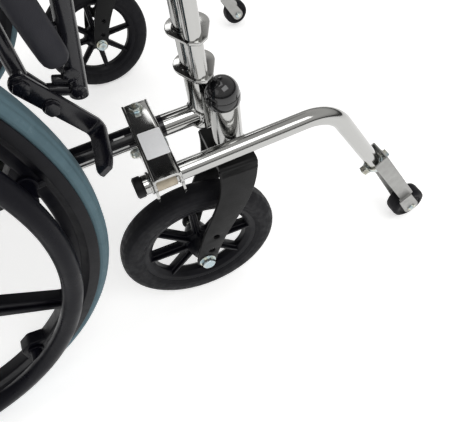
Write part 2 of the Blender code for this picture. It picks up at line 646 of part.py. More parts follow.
def anti_tip_leg(parent):
    """The sliding leg, a channel over the end of the tube, whose two cheeks hold the little wheel."""
    way, ahead, corner = tipper_way(), tipper_ahead(), tipper_corner()
    axle = tipper_axle()
    slide = pivot("anti_tip_slide_right", corner + way * TIPPER_TUBE_LENGTH, parent)
    side = Vector((0, 1, 0))

    def plate(corners, low, high):
        outline = [corner + way * along + ahead * across for along, across in corners]
        return slab([(p.x, p.z) for p in outline], low - TIPPER_Y, high - TIPPER_Y)

    inside, outside = COLLAR + 2 * GAP, COLLAR + 2 * GAP + LEG_WALL
    near = inside + 0.0048
    top, foot, reach = TIPPER_TUBE_LENGTH - 0.022, 0.252, TIPPER_WHEEL_REACH
    web = [(top, LEG_FRONT - LEG_WALL), (top, LEG_FRONT), (foot, LEG_FRONT), (foot, LEG_FRONT - LEG_WALL)]
    shapes = [plate(web, -outside, outside)]
    straight = [(top, LEG_FRONT - 0.0195), (top, LEG_FRONT)]
    straight += [(foot + 0.003, LEG_FRONT), (foot + 0.003, -0.004)]
    round_foot = arc_points((reach, LEG_AXLE), 0.0110, -pi / 2, pi / 2, 6)
    long_cheek = straight[:3] + round_foot[::-1]
    short_cheek = [(foot - 0.004, -0.0085), (foot - 0.004, 0.0115)] + round_foot[::-1]
    shapes += [plate(long_cheek, inside, outside), plate(straight, -outside, -inside)]
    shapes.append(plate(short_cheek, -near - LEG_WALL, -near))
    joggle = [(foot - 0.002, -0.0030), (foot - 0.002, 0.0110)]
    joggle += [(foot + 0.002, 0.0110), (foot + 0.002, -0.0030)]
    shapes.append(plate(joggle, -near - 0.0005, -inside - 0.0005))
    cuts = [rod(axle - side * 0.03, axle + side * 0.03, 0.0034, 8)]
    clamp = TIPPER_TUBE_LENGTH - CLAMP_BACK
    slot_start, slot_end = clamp - SLIDE_DOWN - 0.0045, clamp + SLIDE_UP + 0.0045
    slot = [(slot_start, 0.011), (slot_start, 0.020), (slot_end, 0.020), (slot_end, 0.011)]
    cuts.append(plate(slot, -0.0036, 0.0036))
    node("anti_tip_leg_right", fuse(shapes, cuts), "cast_silver", slide)

    outer = Vector((axle.x, -TIPPER_Y - near - LEG_WALL - GAP, axle.z))
    inner = Vector((axle.x, -TIPPER_Y + outside + GAP, axle.z))
    node("anti_tip_axle_right", fuse(hexagon_bolt(outer, inner, 0.0030, 0.0055, 0.0030)), "zinc", slide)

    spin = pivot("anti_tip_wheel_axis_right", axle, slide)
    profile = [(0.0034, -0.0120), (0.0200, -0.0120), (TIPPER_WHEEL, -0.0085), (TIPPER_WHEEL, 0.0085)]
    profile += [(0.0200, 0.0120), (0.0034, 0.0120)]
    node("anti_tip_wheel_right", turned(profile, axle, 20), "tyre_black", spin)


# The wheel lock


def lock_mount(frame):
    """The hanger clamped to the upper rail: two arms for the lever and the bar, and a tie between them."""
    x, y = LEVER_PIVOT.x + 0.0065, -0.2475
    tube = y - 0.0015
    bar_top = (LOCK_PIVOT.x, tube, LOCK_PIVOT.z - 0.002)
    bar_foot = (LOCK_LINK.x, y, LOCK_LINK.z - 0.001)
    shapes = [rod((0.283, -FRAME_Y, RAIL_Z), (0.357, -FRAME_Y, RAIL_Z), TUBE + 0.0042, SIDES)]
    shapes.append(rod((x - 0.001, y, 0.357), (x + 0.020, y, 0.462), 0.0082, 8))
    shapes.append(rod((LOCK_PIVOT.x, tube, 0.460), (LOCK_PIVOT.x, tube, LOCK_PIVOT.z - 0.006), 0.0066, 8))
    shapes.append(rod(bar_foot, (x, y, 0.3635), 0.0055, 6))
    shapes.append(rod(bar_top, bar_foot, 0.0045, 6))
    for height in (0.3655, 0.3820):
        shapes.append(rod((x, y, height), (x, y - 0.0085, height), 0.0068, 6))
    shapes.append(rod((x - 0.002, y, 0.3740), (x - 0.016, y, 0.3790), 0.0032, 6))
    shapes.append(rod(LOCK_PIVOT + Vector((0, 0.020, 0)), LOCK_PIVOT - Vector((0, 0.0065, 0)), 0.0040, 8))
    lever_pin_end = LEVER_PIVOT - Vector((0, 0.0040, 0))
    shapes.append(rod((LEVER_PIVOT.x, y, LEVER_PIVOT.z), lever_pin_end, 0.0040, 8))
    low = (LEVER_PIVOT.x - 0.004, y - 0.0040, LEVER_PIVOT.z - 0.006)
    shapes.append(block(low, (x + 0.010, y + 0.0040, LEVER_PIVOT.z + 0.006)))
    rail = rod((0.26, -FRAME_Y, RAIL_Z), (0.36, -FRAME_Y, RAIL_Z), TUBE + GAP, SIDES)
    return node("lock_mount_right", fuse(shapes, [rail]), "black_steel", frame)


def lock_shoe(parent):
    """The flat bar of the lock, its end bent outwards across the tread of the tyre."""
    hinge = pivot("lock_shoe_axis_right", LOCK_PIVOT, parent)
    way = (LOCK_ELBOW - LOCK_PIVOT).normalized()
    up = Vector((-way.z, 0, way.x))
    tip = LOCK_ELBOW + Vector((-0.0065, -0.047, -0.006))
    half, thick = 0.0085, 0.0050
    inner = Vector((0, thick / 2, 0))
    rings = []
    for place, offset, reach in (
        (LOCK_PIVOT - way * 0.0080, inner, 0.45),
        (LOCK_PIVOT - way * 0.0050, inner, 0.85),
        (LOCK_PIVOT, inner, 1.0),
        (LOCK_ELBOW - way * 0.012, inner, 1.0),
        (LOCK_ELBOW - way * 0.001, (inner + way * thick / 2) * 0.9, 1.0),
        (LOCK_ELBOW + Vector((-0.001, -0.012, -0.001)), way * thick / 2, 1.0),
        (tip + Vector((0.001, 0.006, 0.001)), way * thick / 2, 1.0),
        (tip, way * thick / 2, 0.6),
    ):
        wide = up * (half * reach)
        near, far = place + offset, place - offset
        rings.append([near + wide, near - wide, far - wide, far + wide])
    bar = skin(rings)
    side = Vector((0, 0.02, 0))
    link_bolt = rod(LOCK_LINK + side * 0.42, LOCK_LINK - side * 0.38, 0.0062, 6)
    bore = rod(LOCK_PIVOT - side, LOCK_PIVOT + side, 0.0043, 10)
    node("lock_shoe_right", fuse([bar, link_bolt], [bore]), "black_steel", hinge)


def lock_lever(parent):
    """The lock's moulded lever, fat and round at its foot."""
    hinge = pivot("lock_lever_axis_right", LEVER_PIVOT, parent)
    lean = radians(8)
    profile = [(-0.014, 0.0050, 0.0060), (-0.010, 0.0090, 0.0080), (0, 0.0110, 0.0088)]
    profile += [(0.050, 0.0110, 0.0085), (0.100, 0.0095, 0.0080), (0.125, 0.0110, 0.0088)]
    profile += [(0.175, 0.0105, 0.0085), (0.188, 0.0060, 0.0050)]
    rings = []
    for height, wide, deep in profile:
        ring = []
        for k in range(10):
            angle = 2 * pi * k / 10
            ring.append(LEVER_PIVOT + Vector((wide * cos(angle), deep * sin(angle), height)))
        rings.append(ring)
    lever = skin(rings)
    pin = rod(LEVER_PIVOT - Vector((0, 0.0045, 0)), LEVER_PIVOT + Vector((0, 0.03, 0)), 0.0043, 10)
    lever = fuse([lever], [pin])
    node("lock_lever_right", turn_about(lever, LEVER_PIVOT, -lean, "Y"), "grey_rubber", hinge)


# Arm rest


def arm_rest(parent):
    rear, front = on_right(REAR_POST_X, FRAME_Y, ARM_FOOT), on_right(FRONT_POST_X, FRAME_Y, ARM_FOOT)
    lift = pivot("arm_lift_right", rear, parent)
    rise = Vector((0, 0, ARM_Z - ARM_FOOT))
    path = filleted([rear, rear + rise, front + rise, front], ARM_BEND)
    node("arm_frame_right", sweep(path, POST, 10), "chrome", lift)

    left, right = REAR_POST_X + POST + GAP, FRONT_POST_X - POST - GAP
    top = ARM_Z - POST - GAP
    outline = [(left, 0.535), (left, top - 0.040), (left + 0.040, top), (right - 0.040, top)]
    outline += [(right, top - 0.040), (right, 0.535), (right - 0.020, 0.524), (left + 0.020, 0.524)]
    node("side_panel_right", slab(outline, -FRAME_Y - 0.0020, -FRAME_Y + 0.0020), "black_plastic", lift)

    low, high = ARM_Z + POST + GAP, ARM_Z + POST + 0.026
    ends = arc_points((PAD_FRONT, -PAD_Y), PAD_HALF, -pi / 2, pi / 2, 6)
    ends += arc_points((PAD_REAR, -PAD_Y), PAD_HALF, pi / 2, 3 * pi / 2, 6)
    middle = Vector(((PAD_REAR + PAD_FRONT) / 2, -PAD_Y))
    smaller = [middle + (Vector(p) - middle) * 0.975 for p in ends]
    rings = [[Vector((*p, low)) for p in smaller], [Vector((*p, low + 0.005)) for p in ends]]
    rings += [[Vector((*p, high - 0.005)) for p in ends], [Vector((*p, high)) for p in smaller]]
    node("arm_pad_right", skin(rings), "pad_vinyl", lift)


# The other side, and what joins the two


def mirrored(found, name, parent):
    """A copy of a right-hand piece for the left-hand side."""
    mesh = found.data.copy()
    mesh.transform(Matrix.Scale(-1, 4, (0, 1, 0)))
    mesh.flip_normals()
    mesh.name = name
    made = bpy.data.objects.new(name, mesh)
    bpy.context.scene.collection.objects.link(made)
    made.parent = parent
    return made


def mirror_side(right, left):
    """Copies everything below the right-hand empty to the left-hand one."""
    for child in list(right.children):
        name = child.name.replace("_right", "_left")
        if child.type == "EMPTY":
            place = whereabouts(child)
            mirror_side(child, pivot(name, (place.x, -place.y, place.z), left))
        else:
            mirrored(child, name, left)


def brace(name, x, bottom_side, parent):
    """A diagonal tube between its bottom sleeve on one side and a seat rail on the other."""
    bottom = Vector((x, bottom_side * SEAT_RAIL_Y, LOWER_Z))
    top = Vector((x, -bottom_side * SEAT_RAIL_Y, SEAT_RAIL_Z))
    shapes = [rod(bottom, top, BRACE_TUBE, SIDES)]
    sleeve_start = Vector((BRACE_X - 0.0455, bottom.y, LOWER_Z))
    sleeve_end = Vector((BRACE_X + 0.0455, bottom.y, LOWER_Z))
    shapes.append(rod(sleeve_start, sleeve_end, 0.0100, SIDES))
    shapes.append(rod((0.035, top.y, SEAT_RAIL_Z), (0.425, top.y, SEAT_RAIL_Z), TUBE, SIDES))
    reach = Vector((0.08, 0, 0))
    cuts = [rod(sleeve_start - reach, sleeve_end + reach, BRACE_PIN + GAP, 12)]
    middle = Vector((BRACE_X, 0, (LOWER_Z + SEAT_RAIL_Z) / 2))
    cuts.append(rod(middle - reach, middle + reach, 0.0043, 10))
    node(name, fuse(shapes, cuts), "black_steel", parent)


def middle_of_chair(right):
    middle = Vector((BRACE_X, 0, (LOWER_Z + SEAT_RAIL_Z) / 2))
    first = pivot("cross_brace_front_axis", Vector((BRACE_X, -SEAT_RAIL_Y, LOWER_Z)), right)
    brace("cross_brace_front", BRACE_X + BRACE_HALF_SPACING, -1, first)
    second = pivot("cross_brace_rear_axis", middle, first)
    brace("cross_brace_rear", BRACE_X - BRACE_HALF_SPACING, 1, second)
    reach = Vector((BRACE_HALF_SPACING + BRACE_TUBE + GAP, 0, 0))
    bolt = fuse(hexagon_bolt(middle - reach, middle + reach, 0.0040, 0.0085, 0.0060))
    node("brace_pivot_bolt", bolt, "zinc", first)

    height = SEAT_RAIL_Z + TUBE + GAP
    edge = SEAT_RAIL_Y + 0.0105
    seat = block((0.040, -edge, height), (0.420, edge, height + 0.0060))
    node("seat_upholstery", seat, "upholstery", second)
    edge = FRAME_Y - TUBE - GAP
    back = block((-0.0045, -edge, 0.530), (0.0045, edge, 0.865))
    node("back_upholstery", back, "upholstery", right)
    return second


def build():
    clear_scene()
    chair = pivot("chair", (0, 0, 0))
    chair.location.x = (REAR_RADIUS - tipper_axle().x - TIPPER_WHEEL) / 2
    right = pivot("side_frame_right", (0, 0, 0), chair)
    for make in (back_cane, front_frame, lower_tube, push_grip, caster_cap, stem_bearing, rear_axle):
        make(right)
    for make in (rear_wheel, caster, anti_tip_bracket, anti_tip_tube, anti_tip_leg):
        make(right)
    for make in (lock_mount, lock_shoe, lock_lever, arm_rest):
        make(right)
    left = pivot("side_frame_left", (0, 0, 0), chair)
    mirror_side(right, left)
    middle_of_chair(right)


build()
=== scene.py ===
"""The looks of a folding wheelchair with front anti-tippers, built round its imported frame.

Metres, +X forward, +Y to the rider's left, +Z up. Every place is measured from the point on the ground
under the rear axle, and moved into the frame's own coordinates when a piece is made. The right-hand
pieces are shaped once, and each gets a mirror image on the left.
"""

from math import atan2, cos, exp, pi, radians, sin, sqrt, tan

import bmesh
import bpy
from mathutils import Matrix, Vector, noise


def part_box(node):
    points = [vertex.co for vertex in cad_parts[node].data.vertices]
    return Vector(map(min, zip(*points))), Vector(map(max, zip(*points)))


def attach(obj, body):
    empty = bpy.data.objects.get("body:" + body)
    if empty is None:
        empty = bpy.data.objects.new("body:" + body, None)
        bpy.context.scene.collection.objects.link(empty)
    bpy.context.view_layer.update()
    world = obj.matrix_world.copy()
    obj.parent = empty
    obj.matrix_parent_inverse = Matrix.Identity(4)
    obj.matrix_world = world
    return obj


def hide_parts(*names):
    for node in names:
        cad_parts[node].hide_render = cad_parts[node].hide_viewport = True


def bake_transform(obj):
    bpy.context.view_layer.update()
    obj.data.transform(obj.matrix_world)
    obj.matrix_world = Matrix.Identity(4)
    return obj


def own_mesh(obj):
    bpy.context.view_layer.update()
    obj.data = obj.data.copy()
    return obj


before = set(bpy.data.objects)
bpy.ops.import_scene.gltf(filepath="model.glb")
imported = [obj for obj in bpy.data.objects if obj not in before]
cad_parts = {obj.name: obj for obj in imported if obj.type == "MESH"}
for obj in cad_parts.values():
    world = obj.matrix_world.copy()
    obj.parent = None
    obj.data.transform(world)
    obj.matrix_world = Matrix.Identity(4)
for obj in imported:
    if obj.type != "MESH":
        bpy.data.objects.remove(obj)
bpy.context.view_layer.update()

tyre_low, tyre_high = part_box("rear_tyre_right")
ORIGIN = Vector(((tyre_low.x + tyre_high.x) / 2, 0, 0))

# Frame tubing
TUBE = 0.0111
GAP = 0.0003
FRAME_Y = 0.243
RAIL_Z = 0.470
LOWER_Z = 0.287
UPRIGHT_X = 0.4306
UPRIGHT_FOOT = 0.2735
RAIL_BEND = 0.050
CANE_FOOT = 0.266
CANE_BEND = 0.045
HANDLE_Z = 0.925
HANDLE_REAR = -0.150
TEARDROPS = (0.343, 0.381, 0.432)
WRAP = (0.262, 0.3890)

# Wheels
REAR_RADIUS = 0.305
REAR_Y = 0.300
SPOKE_COUNT = 9
FIRST_SPOKE = radians(6.5)
HUB_RADIUS = 0.030
HANDRIM_RADIUS = 0.262
HANDRIM_TUBE = 0.010
HANDRIM_Y = 0.335
STANDOFF_COUNT = 6
FIRST_STANDOFF = radians(7.7)
STANDOFF_REACH = 0.265
RIM_HALF, WEB_HALF = 0.0145, 0.0085
BOSS_INSIDE, BOSS_OUTSIDE, BOSS_HALF = 0.2515, 0.2775, 0.0085
BOSS_SKIRT = 0.026
CASTER_RADIUS = 0.1016
CASTER_SPOKES = 8
STEM_X = 0.4470
STEM_Y = 0.2665
TRAIL = 0.0573
CASTER_TOE = radians(3.6)
HOUSING = 0.0157
HOUSING_LOW = 0.2556
HOUSING_TOP = 0.3125
CROWN_TOP = 0.2550
BLADE_INSIDE = 0.0300
BLADE_OUTSIDE = 0.0340
CASTER_HUB = 0.0215
SPARE_HOLES = ((0.0085, 0.0180), (0.0175, 0.0425))

# Anti-tipper
TIPPER_Y = 0.295
TIPPER_Z = 0.2735
TIPPER_TUBE = 0.0095
TIPPER_REAR = 0.3465
TIPPER_CORNER = 0.5515
TIPPER_BEND = 0.055
TIPPER_ANGLE = radians(59)
TIPPER_TUBE_LENGTH = 0.150
TIPPER_WHEEL_REACH = 0.282
TIPPER_WHEEL = 0.0245
COLLAR = 0.0120
LEG_FRONT = 0.0155
LEG_WALL = 0.0018
LEG_AXLE = 0.0010
TIPPER_WHEEL_Y = 0.2985
CLAMP_BACK = 0.008
CHANNEL_REAR, CHANNEL_FRONT = 0.3540, 0.3810
CHANNEL_TOP = 0.3030
CHANNEL_WALL = 0.0025
CHANNEL_TOE = radians(2.0)
FLARE = radians(3.5)

# Folding seat frame
SEAT_RAIL_Y = 0.2175
SEAT_RAIL_Z = 0.478
BRACE_TUBE = 0.0125
BRACE_X = 0.215
BRACE_HALF_SPACING = 0.0132
BRACE_PIN = 0.005

# Wheel lock
LOCK_BAR_Y = 0.2705
LOCK_PIVOT = Vector((0.291, -LOCK_BAR_Y, 0.3985))
LOCK_LINK = Vector((0.304, -LOCK_BAR_Y, 0.373))
LOCK_ELBOW = Vector((0.329, -LOCK_BAR_Y, 0.337))
LEVER_PIVOT = Vector((0.321, -0.2675, 0.416))

# Arms and upholstery
POST = 0.0095
REAR_POST_X, FRONT_POST_X = 0.050, 0.372
ARM_Z = 0.700
PAD_Y = 0.258
SEAT_REAR, SEAT_FRONT = 0.040, 0.420
SEAT_WRAP = 0.0136
BACK_LOW, BACK_HIGH = 0.530, 0.865
PAD_START, PAD_END = 0.055, 0.350

# The camera, measured from the same point
CAMERA_AT = Vector((0.335, -0.590, 0.6026))
CAMERA_AZIMUTH = radians(-16.363)
CAMERA_ELEVATION = radians(53.797)
CAMERA_ROLL = radians(-9.906)
SENSOR = 36.0
LENS = 36.925
FLOOR_GLOW = 0.50
WORLD_STRENGTH = 0.62
CHROME_COLOUR = (0.46, 0.46, 0.45)
DARK_SIDE = (0.07, 0.70, 0.71)

DOWN = Vector((0, 0, -1))
UP = Vector((0, 0, 1))
LEFT = Vector((0, 1, 0))
FORWARD = Vector((1, 0, 0))


# Materials


class Finish:
    """A material and the nodes that it is built from."""

    def __init__(self, name, slot, colour, roughness, metallic=0.0, shine=0.16):
        self.slot = slot
        self.material = bpy.data.materials.new(name)
        self.material.use_nodes = True
        self.tree = self.material.node_tree
        self.shader = self.tree.nodes["Principled BSDF"]
        self.shader.inputs["Base Color"].default_value = (*colour, 1)
        self.shader.inputs["Roughness"].default_value = roughness
        self.shader.inputs["Metallic"].default_value = metallic
        self.shader.inputs["Specular IOR Level"].default_value = 0.5 if metallic else shine
        self.place = self.add("ShaderNodeTexCoord").outputs["Object"]

    def add(self, kind, inputs=None, **settings):
        made = self.tree.nodes.new(kind)
        for name, value in settings.items():
            setattr(made, name, value)
        for name, value in (inputs or {}).items():
            if isinstance(value, bpy.types.NodeSocket):
                self.tree.links.new(value, made.inputs[name])
            else:
                made.inputs[name].default_value = value
        return made

    def noise(self, scale, detail=3.0, roughness=0.5, stretch=None):
        place = self.place
        if stretch:
            place = self.add("ShaderNodeMapping", {"Vector": place, "Scale": stretch}).outputs[0]
        settings = {"Vector": place, "Scale": scale, "Detail": detail, "Roughness": roughness}
        return self.add("ShaderNodeTexNoise", settings).outputs["Fac"]

    def cells(self, scale, feature="F1"):
        return self.add("ShaderNodeTexVoronoi", {"Vector": self.place, "Scale": scale},
                        feature=feature).outputs[0]

    def graded(self, factor, low, high, start=0.35, end=0.65):
        """A number that runs from low to high as the factor runs from start to end."""
        settings = {"Value": factor, "From Min": start, "From Max": end, "To Min": low, "To Max": high}
        return self.add("ShaderNodeMapRange", settings).outputs["Result"]

    def mixed(self, factor, first, second):
        """One colour or the other, by the factor. Either may be a node's output."""
        first = first if isinstance(first, bpy.types.NodeSocket) else (*first, 1)
        second = second if isinstance(second, bpy.types.NodeSocket) else (*second, 1)
        made = self.add("ShaderNodeMix", data_type="RGBA")
        for socket, value in ((made.inputs[0], factor), (made.inputs[6], first),
                              (made.inputs[7], second)):
            if isinstance(value, bpy.types.NodeSocket):
                self.tree.links.new(value, socket)
            else:
                socket.default_value = value
        return made.outputs[2]

    def math(self, operation, first, second=0.0):
        made = self.add("ShaderNodeMath", {0: first, 1: second}, operation=operation)
        return made.outputs[0]

    def edges(self, low=0.52, high=0.60):
        """Where the surface is convex, as at a worn edge."""
        sharpness = self.add("ShaderNodeNewGeometry").outputs["Pointiness"]
        return self.graded(sharpness, 0.0, 1.0, low, high)

    def feed(self, name, value):
        self.tree.links.new(value, self.shader.inputs[name])

    def bumps(self, *layers):
        """Bumps one on another, each a height and how deep it is in metres."""
        normal = None
        for height, depth in layers:
            made = self.add("ShaderNodeBump", {"Height": height, "Distance": depth, "Strength": 1.0})
            if normal:
                self.tree.links.new(normal, made.inputs["Normal"])
            normal = made.outputs[0]
        self.feed("Normal", normal)


def chrome_finish():
    made = Finish("chrome_plate", "chrome", CHROME_COLOUR, 0.07, 1.0)
    smears = made.noise(28, 4, 0.6)
    made.feed("Roughness", made.graded(smears, 0.06, 0.16))
    dust = made.graded(made.noise(240, 5, 0.7), 0.0, 0.16, 0.60, 0.75)
    made.feed("Base Color", made.mixed(dust, CHROME_COLOUR, (0.36, 0.34, 0.31)))
    drawn = made.noise(300, 2, 0.5, (0.06, 1, 1))
    made.bumps((made.noise(38, 2), 0.00004), (drawn, 0.000003))
    return made


def zinc_finish():
    made = Finish("zinc_plate", "zinc", (0.60, 0.66, 0.68), 0.30, 1.0)
    tint = made.graded(made.noise(120, 3), 0.0, 1.0, 0.40, 0.62)
    colour = made.mixed(tint, (0.42, 0.52, 0.56), (0.58, 0.56, 0.46))
    made.feed("Base Color", made.mixed(made.edges(0.53, 0.66), colour, (0.66, 0.68, 0.68)))
    made.feed("Roughness", made.graded(made.noise(260, 4), 0.20, 0.40))
    made.bumps((made.noise(900, 3), 0.00006))
    return made


def steel_finish():
    made = Finish("black_powder_coat", "black_steel", (0.008, 0.008, 0.009), 0.42, shine=0.14)
    cloudy = made.mixed(made.noise(35, 4), (0.006, 0.006, 0.007), (0.012, 0.012, 0.012))
    made.feed("Base Color", made.mixed(made.edges(0.56, 0.72), cloudy, (0.055, 0.053, 0.050)))
    made.feed("Roughness", made.graded(made.noise(70, 5), 0.33, 0.50))
    made.bumps((made.noise(1500, 2), 0.00009), (made.noise(320, 2), 0.00008))
    return made


def lock_finish():
    """The wet-looking black enamel of the wheel lock."""
    made = Finish("black_enamel", "black_steel", (0.003, 0.003, 0.006), 0.24, shine=0.3)
    cloudy = made.mixed(made.noise(45, 4), (0.002, 0.002, 0.005), (0.006, 0.006, 0.010))
    made.feed("Base Color", made.mixed(made.edges(0.55, 0.70), cloudy, (0.060, 0.060, 0.066)))
    made.feed("Roughness", made.graded(made.noise(80, 5), 0.17, 0.34))
    made.shader.inputs["Coat Weight"].default_value = 0.25
    made.shader.inputs["Coat Roughness"].default_value = 0.12
    made.bumps((made.noise(700, 2), 0.00007), (made.noise(150, 2), 0.00010))
    return made


def moulded_finish(name, slot, colour, roughness, grain):
    """A moulded black plastic: spark-eroded grain, and a little dust in the low places."""
    made = Finish(name, slot, colour, roughness)
    lighter = tuple(c * 1.9 + 0.002 for c in colour)
    dust = made.graded(made.noise(60, 5, 0.65), 0.0, 0.55, 0.45, 0.75)
    made.feed("Base Color", made.mixed(dust, colour, lighter))
    made.feed("Roughness", made.graded(made.noise(90, 4), roughness - 0.07, roughness + 0.10))
    made.bumps((made.cells(grain), 0.00005), (made.noise(180, 3), 0.00006))
    return made


def dome_finish():
    made = Finish("gloss_black_dome", "dome_plastic", (0.006, 0.006, 0.007), 0.08, shine=0.4)
    made.shader.inputs["Coat Weight"].default_value = 0.6
    made.shader.inputs["Coat Roughness"].default_value = 0.03
    specks = made.graded(made.noise(700, 4, 0.7), 0.0, 0.5, 0.66, 0.74)
    made.feed("Base Color", made.mixed(specks, (0.006, 0.006, 0.007), (0.10, 0.10, 0.10)))
    made.feed("Roughness", made.graded(made.noise(50, 4), 0.05, 0.16))
    made.bumps((made.noise(90, 2), 0.00009))
    return made


def rubber_finish():
    made = Finish("grey_lever_rubber", "grey_rubber", (0.024, 0.024, 0.030), 0.55)
    made.feed("Base Color", made.mixed(made.noise(60, 4), (0.018, 0.018, 0.023), (0.032, 0.032, 0.039)))
    made.feed("Roughness", made.graded(made.noise(45, 4), 0.46, 0.64))
    made.bumps((made.cells(1400), 0.00007), (made.noise(220, 3), 0.00006))
    return made


def tyre_finish(name, slot, colour, scuffed, roughness):
    """A solid tyre: moulding grain, dust and pale scuffs where it meets the floor."""
    made = Finish(name, slot, colour, roughness)
    cloudy = made.mixed(made.graded(made.noise(22, 5, 0.6), 0, 1), colour,
                        tuple(c * 1.22 for c in colour))
    scuffs = made.graded(made.noise(150, 6, 0.75, (1, 0.35, 1)), 0.0, 0.45, 0.56, 0.78)
    made.feed("Base Color", made.mixed(scuffs, cloudy, scuffed))
    made.feed("Roughness", made.graded(made.noise(130, 5), roughness - 0.10, roughness + 0.12))
    made.bumps((made.noise(1100, 3), 0.00012), (made.noise(170, 4), 0.00010))
    return made


def handrim_finish():
    made = Finish("satin_black_handrim", "handrim_black", (0.004, 0.004, 0.007), 0.34, shine=0.10)
    rubbed = made.graded(made.noise(95, 6, 0.7, (1, 0.5, 1)), 0.0, 0.5, 0.58, 0.76)
    made.feed("Base Color", made.mixed(rubbed, (0.003, 0.003, 0.006), (0.013, 0.013, 0.018)))
    made.feed("Roughness", made.graded(made.noise(40, 5), 0.26, 0.44))
    made.bumps((made.noise(900, 2), 0.00005), (made.noise(160, 3), 0.00007))
    return made


def silver_finish():
    made = Finish("cast_silver", "cast_silver", (0.47, 0.47, 0.46), 0.46, 0.75)
    cloudy = made.mixed(made.noise(50, 5), (0.31, 0.31, 0.30), (0.43, 0.43, 0.42))
    made.feed("Base Color", made.mixed(made.edges(0.54, 0.68), cloudy, (0.62, 0.61, 0.60)))
    made.feed("Roughness", made.graded(made.noise(110, 4), 0.38, 0.56))
    made.bumps((made.noise(1300, 3), 0.00010), (made.noise(260, 3), 0.00009))
    return made


def weave_finish(name, along, across):
    """Coated nylon cloth, its threads running along two of the three axes."""
    made = Finish(name, "upholstery", (0.012, 0.012, 0.014), 0.72)
    thread = 330
    bands = []
    for axis in (along, across):
        settings = {"Vector": made.place, "Scale": thread, "Distortion": 0.25, "Detail": 1.0}
        bands.append(made.add("ShaderNodeTexWave", settings, bands_direction=axis).outputs["Fac"])
    crossing = made.math("MAXIMUM", made.math("MULTIPLY", bands[0], 1.0),
                         made.math("MULTIPLY", bands[1], 0.92))
    shade = made.mixed(crossing, (0.005, 0.005, 0.006), (0.024, 0.024, 0.027))
    dust = made.graded(made.noise(34, 6, 0.7), 0.0, 0.30, 0.50, 0.75)
    made.feed("Base Color", made.mixed(dust, shade, (0.050, 0.049, 0.047)))
    made.feed("Roughness", made.graded(made.noise(60, 4), 0.62, 0.82))
    made.shader.inputs["Sheen Weight"].default_value = 0.15
    made.bumps((crossing, 0.00022), (made.noise(70, 4), 0.0005))
    return made


def vinyl_finish():
    made = Finish("grained_vinyl", "pad_vinyl", (0.017, 0.017, 0.019), 0.50)
    grain = made.cells(620, "SMOOTH_F1")
    made.feed("Base Color", made.mixed(made.noise(50, 4), (0.014, 0.014, 0.016), (0.027, 0.027, 0.029)))
    made.feed("Roughness", made.graded(made.noise(120, 5), 0.40, 0.58))
    made.bumps((grain, 0.00030), (made.noise(1500, 3), 0.00006))
    return made


def decal_finish():
    made = Finish("black_wrap_film", "dome_plastic", (0.003, 0.003, 0.005), 0.16, shine=0.3)
    made.feed("Roughness", made.graded(made.noise(60, 4), 0.10, 0.24))
    made.feed("Base Color", made.mixed(made.noise(90, 5), (0.002, 0.002, 0.004), (0.007, 0.007, 0.009)))
    made.bumps((made.noise(300, 3), 0.00005))
    return made


def label_and_painted_reflection_finish(name, colour):
    """White printed film, a little grubby; in grey it is also the film of the painted reflections on the
    rail wrap.
    """
    made = Finish(name, "cast_silver", colour, 0.45)
    grubby = made.graded(made.noise(180, 5, 0.7), 0.0, 0.5, 0.45, 0.75)
    made.feed("Base Color", made.mixed(grubby, colour, tuple(c * 0.88 for c in colour)))
    made.feed("Roughness", made.graded(made.noise(90, 3), 0.38, 0.55))
    made.bumps((made.noise(500, 3), 0.00004))
    return made


def raw_steel_finish():
    """The bare inside of a plated channel."""
    made = Finish("unplated_inside", "zinc", (0.40, 0.34, 0.26), 0.50, 0.7)
    made.feed("Base Color", made.mixed(made.noise(160, 5), (0.34, 0.29, 0.22), (0.58, 0.52, 0.42)))
    made.feed("Roughness", made.graded(made.noise(120, 4), 0.40, 0.62))
    made.bumps((made.noise(700, 3), 0.0001))
    return made


CHROME = chrome_finish()
ZINC = zinc_finish()
STEEL = steel_finish()
ENAMEL = lock_finish()
PLASTIC = moulded_finish("moulded_black_plastic", "black_plastic", (0.007, 0.007, 0.008), 0.42, 1900)
RIM_PLASTIC = moulded_finish("glass_filled_nylon", "black_plastic", (0.002, 0.002, 0.004), 0.36, 1500)
DOME = dome_finish()
RUBBER = rubber_finish()
TYRE_GREY = tyre_finish("blue_grey_tyre", "tyre_grey", (0.085, 0.140, 0.165), (0.18, 0.25, 0.28), 0.62)
TYRE_BLACK = tyre_finish("dark_grey_tyre", "tyre_black", (0.006, 0.006, 0.008), (0.026, 0.026, 0.027),
                         0.58)
HANDRIM = handrim_finish()
SILVER = silver_finish()
SEAT_CLOTH = weave_finish("seat_weave", "X", "Y")
BACK_CLOTH = weave_finish("back_weave", "Y", "Z")
VINYL = vinyl_finish()
DECAL = decal_finish()
STICKER = label_and_painted_reflection_finish("white_sticker", (0.97, 0.98, 1.0))
# Grey film for the painted reflections on the rail wrap: a painted highlight from the overhead light and
# a painted reflection of the floor.
PAINTED_REFLECTION_FILM = label_and_painted_reflection_finish("painted_reflection_film", (0.62, 0.62, 0.62))
RAW_STEEL = raw_steel_finish()
THREAD = moulded_finish("sewing_thread", "upholstery", (0.030, 0.030, 0.033), 0.70, 2500)


# Shapes. Each function returns a loose mesh, which joined() uses up.


def spread(low, high, count):
    """Evenly spaced numbers from low to high, both included, with this many steps."""
    return [low + (high - low) * i / count for i in range(count + 1)]


def mesh_of(bm):
    bmesh.ops.recalc_face_normals(bm, faces=bm.faces)
    mesh = bpy.data.meshes.new("shape")
    bm.to_mesh(mesh)
    bm.free()
    return mesh


def skin(rings, closed=False):
    """A surface through rings of points, its two ends capped unless it closes on itself."""
    bm = bmesh.new()
    loops = [[bm.verts.new(point) for point in ring] for ring in rings]
    count = len(loops[0])
    pairs = list(zip(loops, loops[1:]))
    if closed:
        pairs.append((loops[-1], loops[0]))
    for first, second in pairs:
        for i in range(count):
            j = (i + 1) % count
            bm.faces.new((first[i], first[j], second[j], second[i]))
    if not closed:
        bm.faces.new(loops[0])
        bm.faces.new(loops[-1])
    return mesh_of(bm)


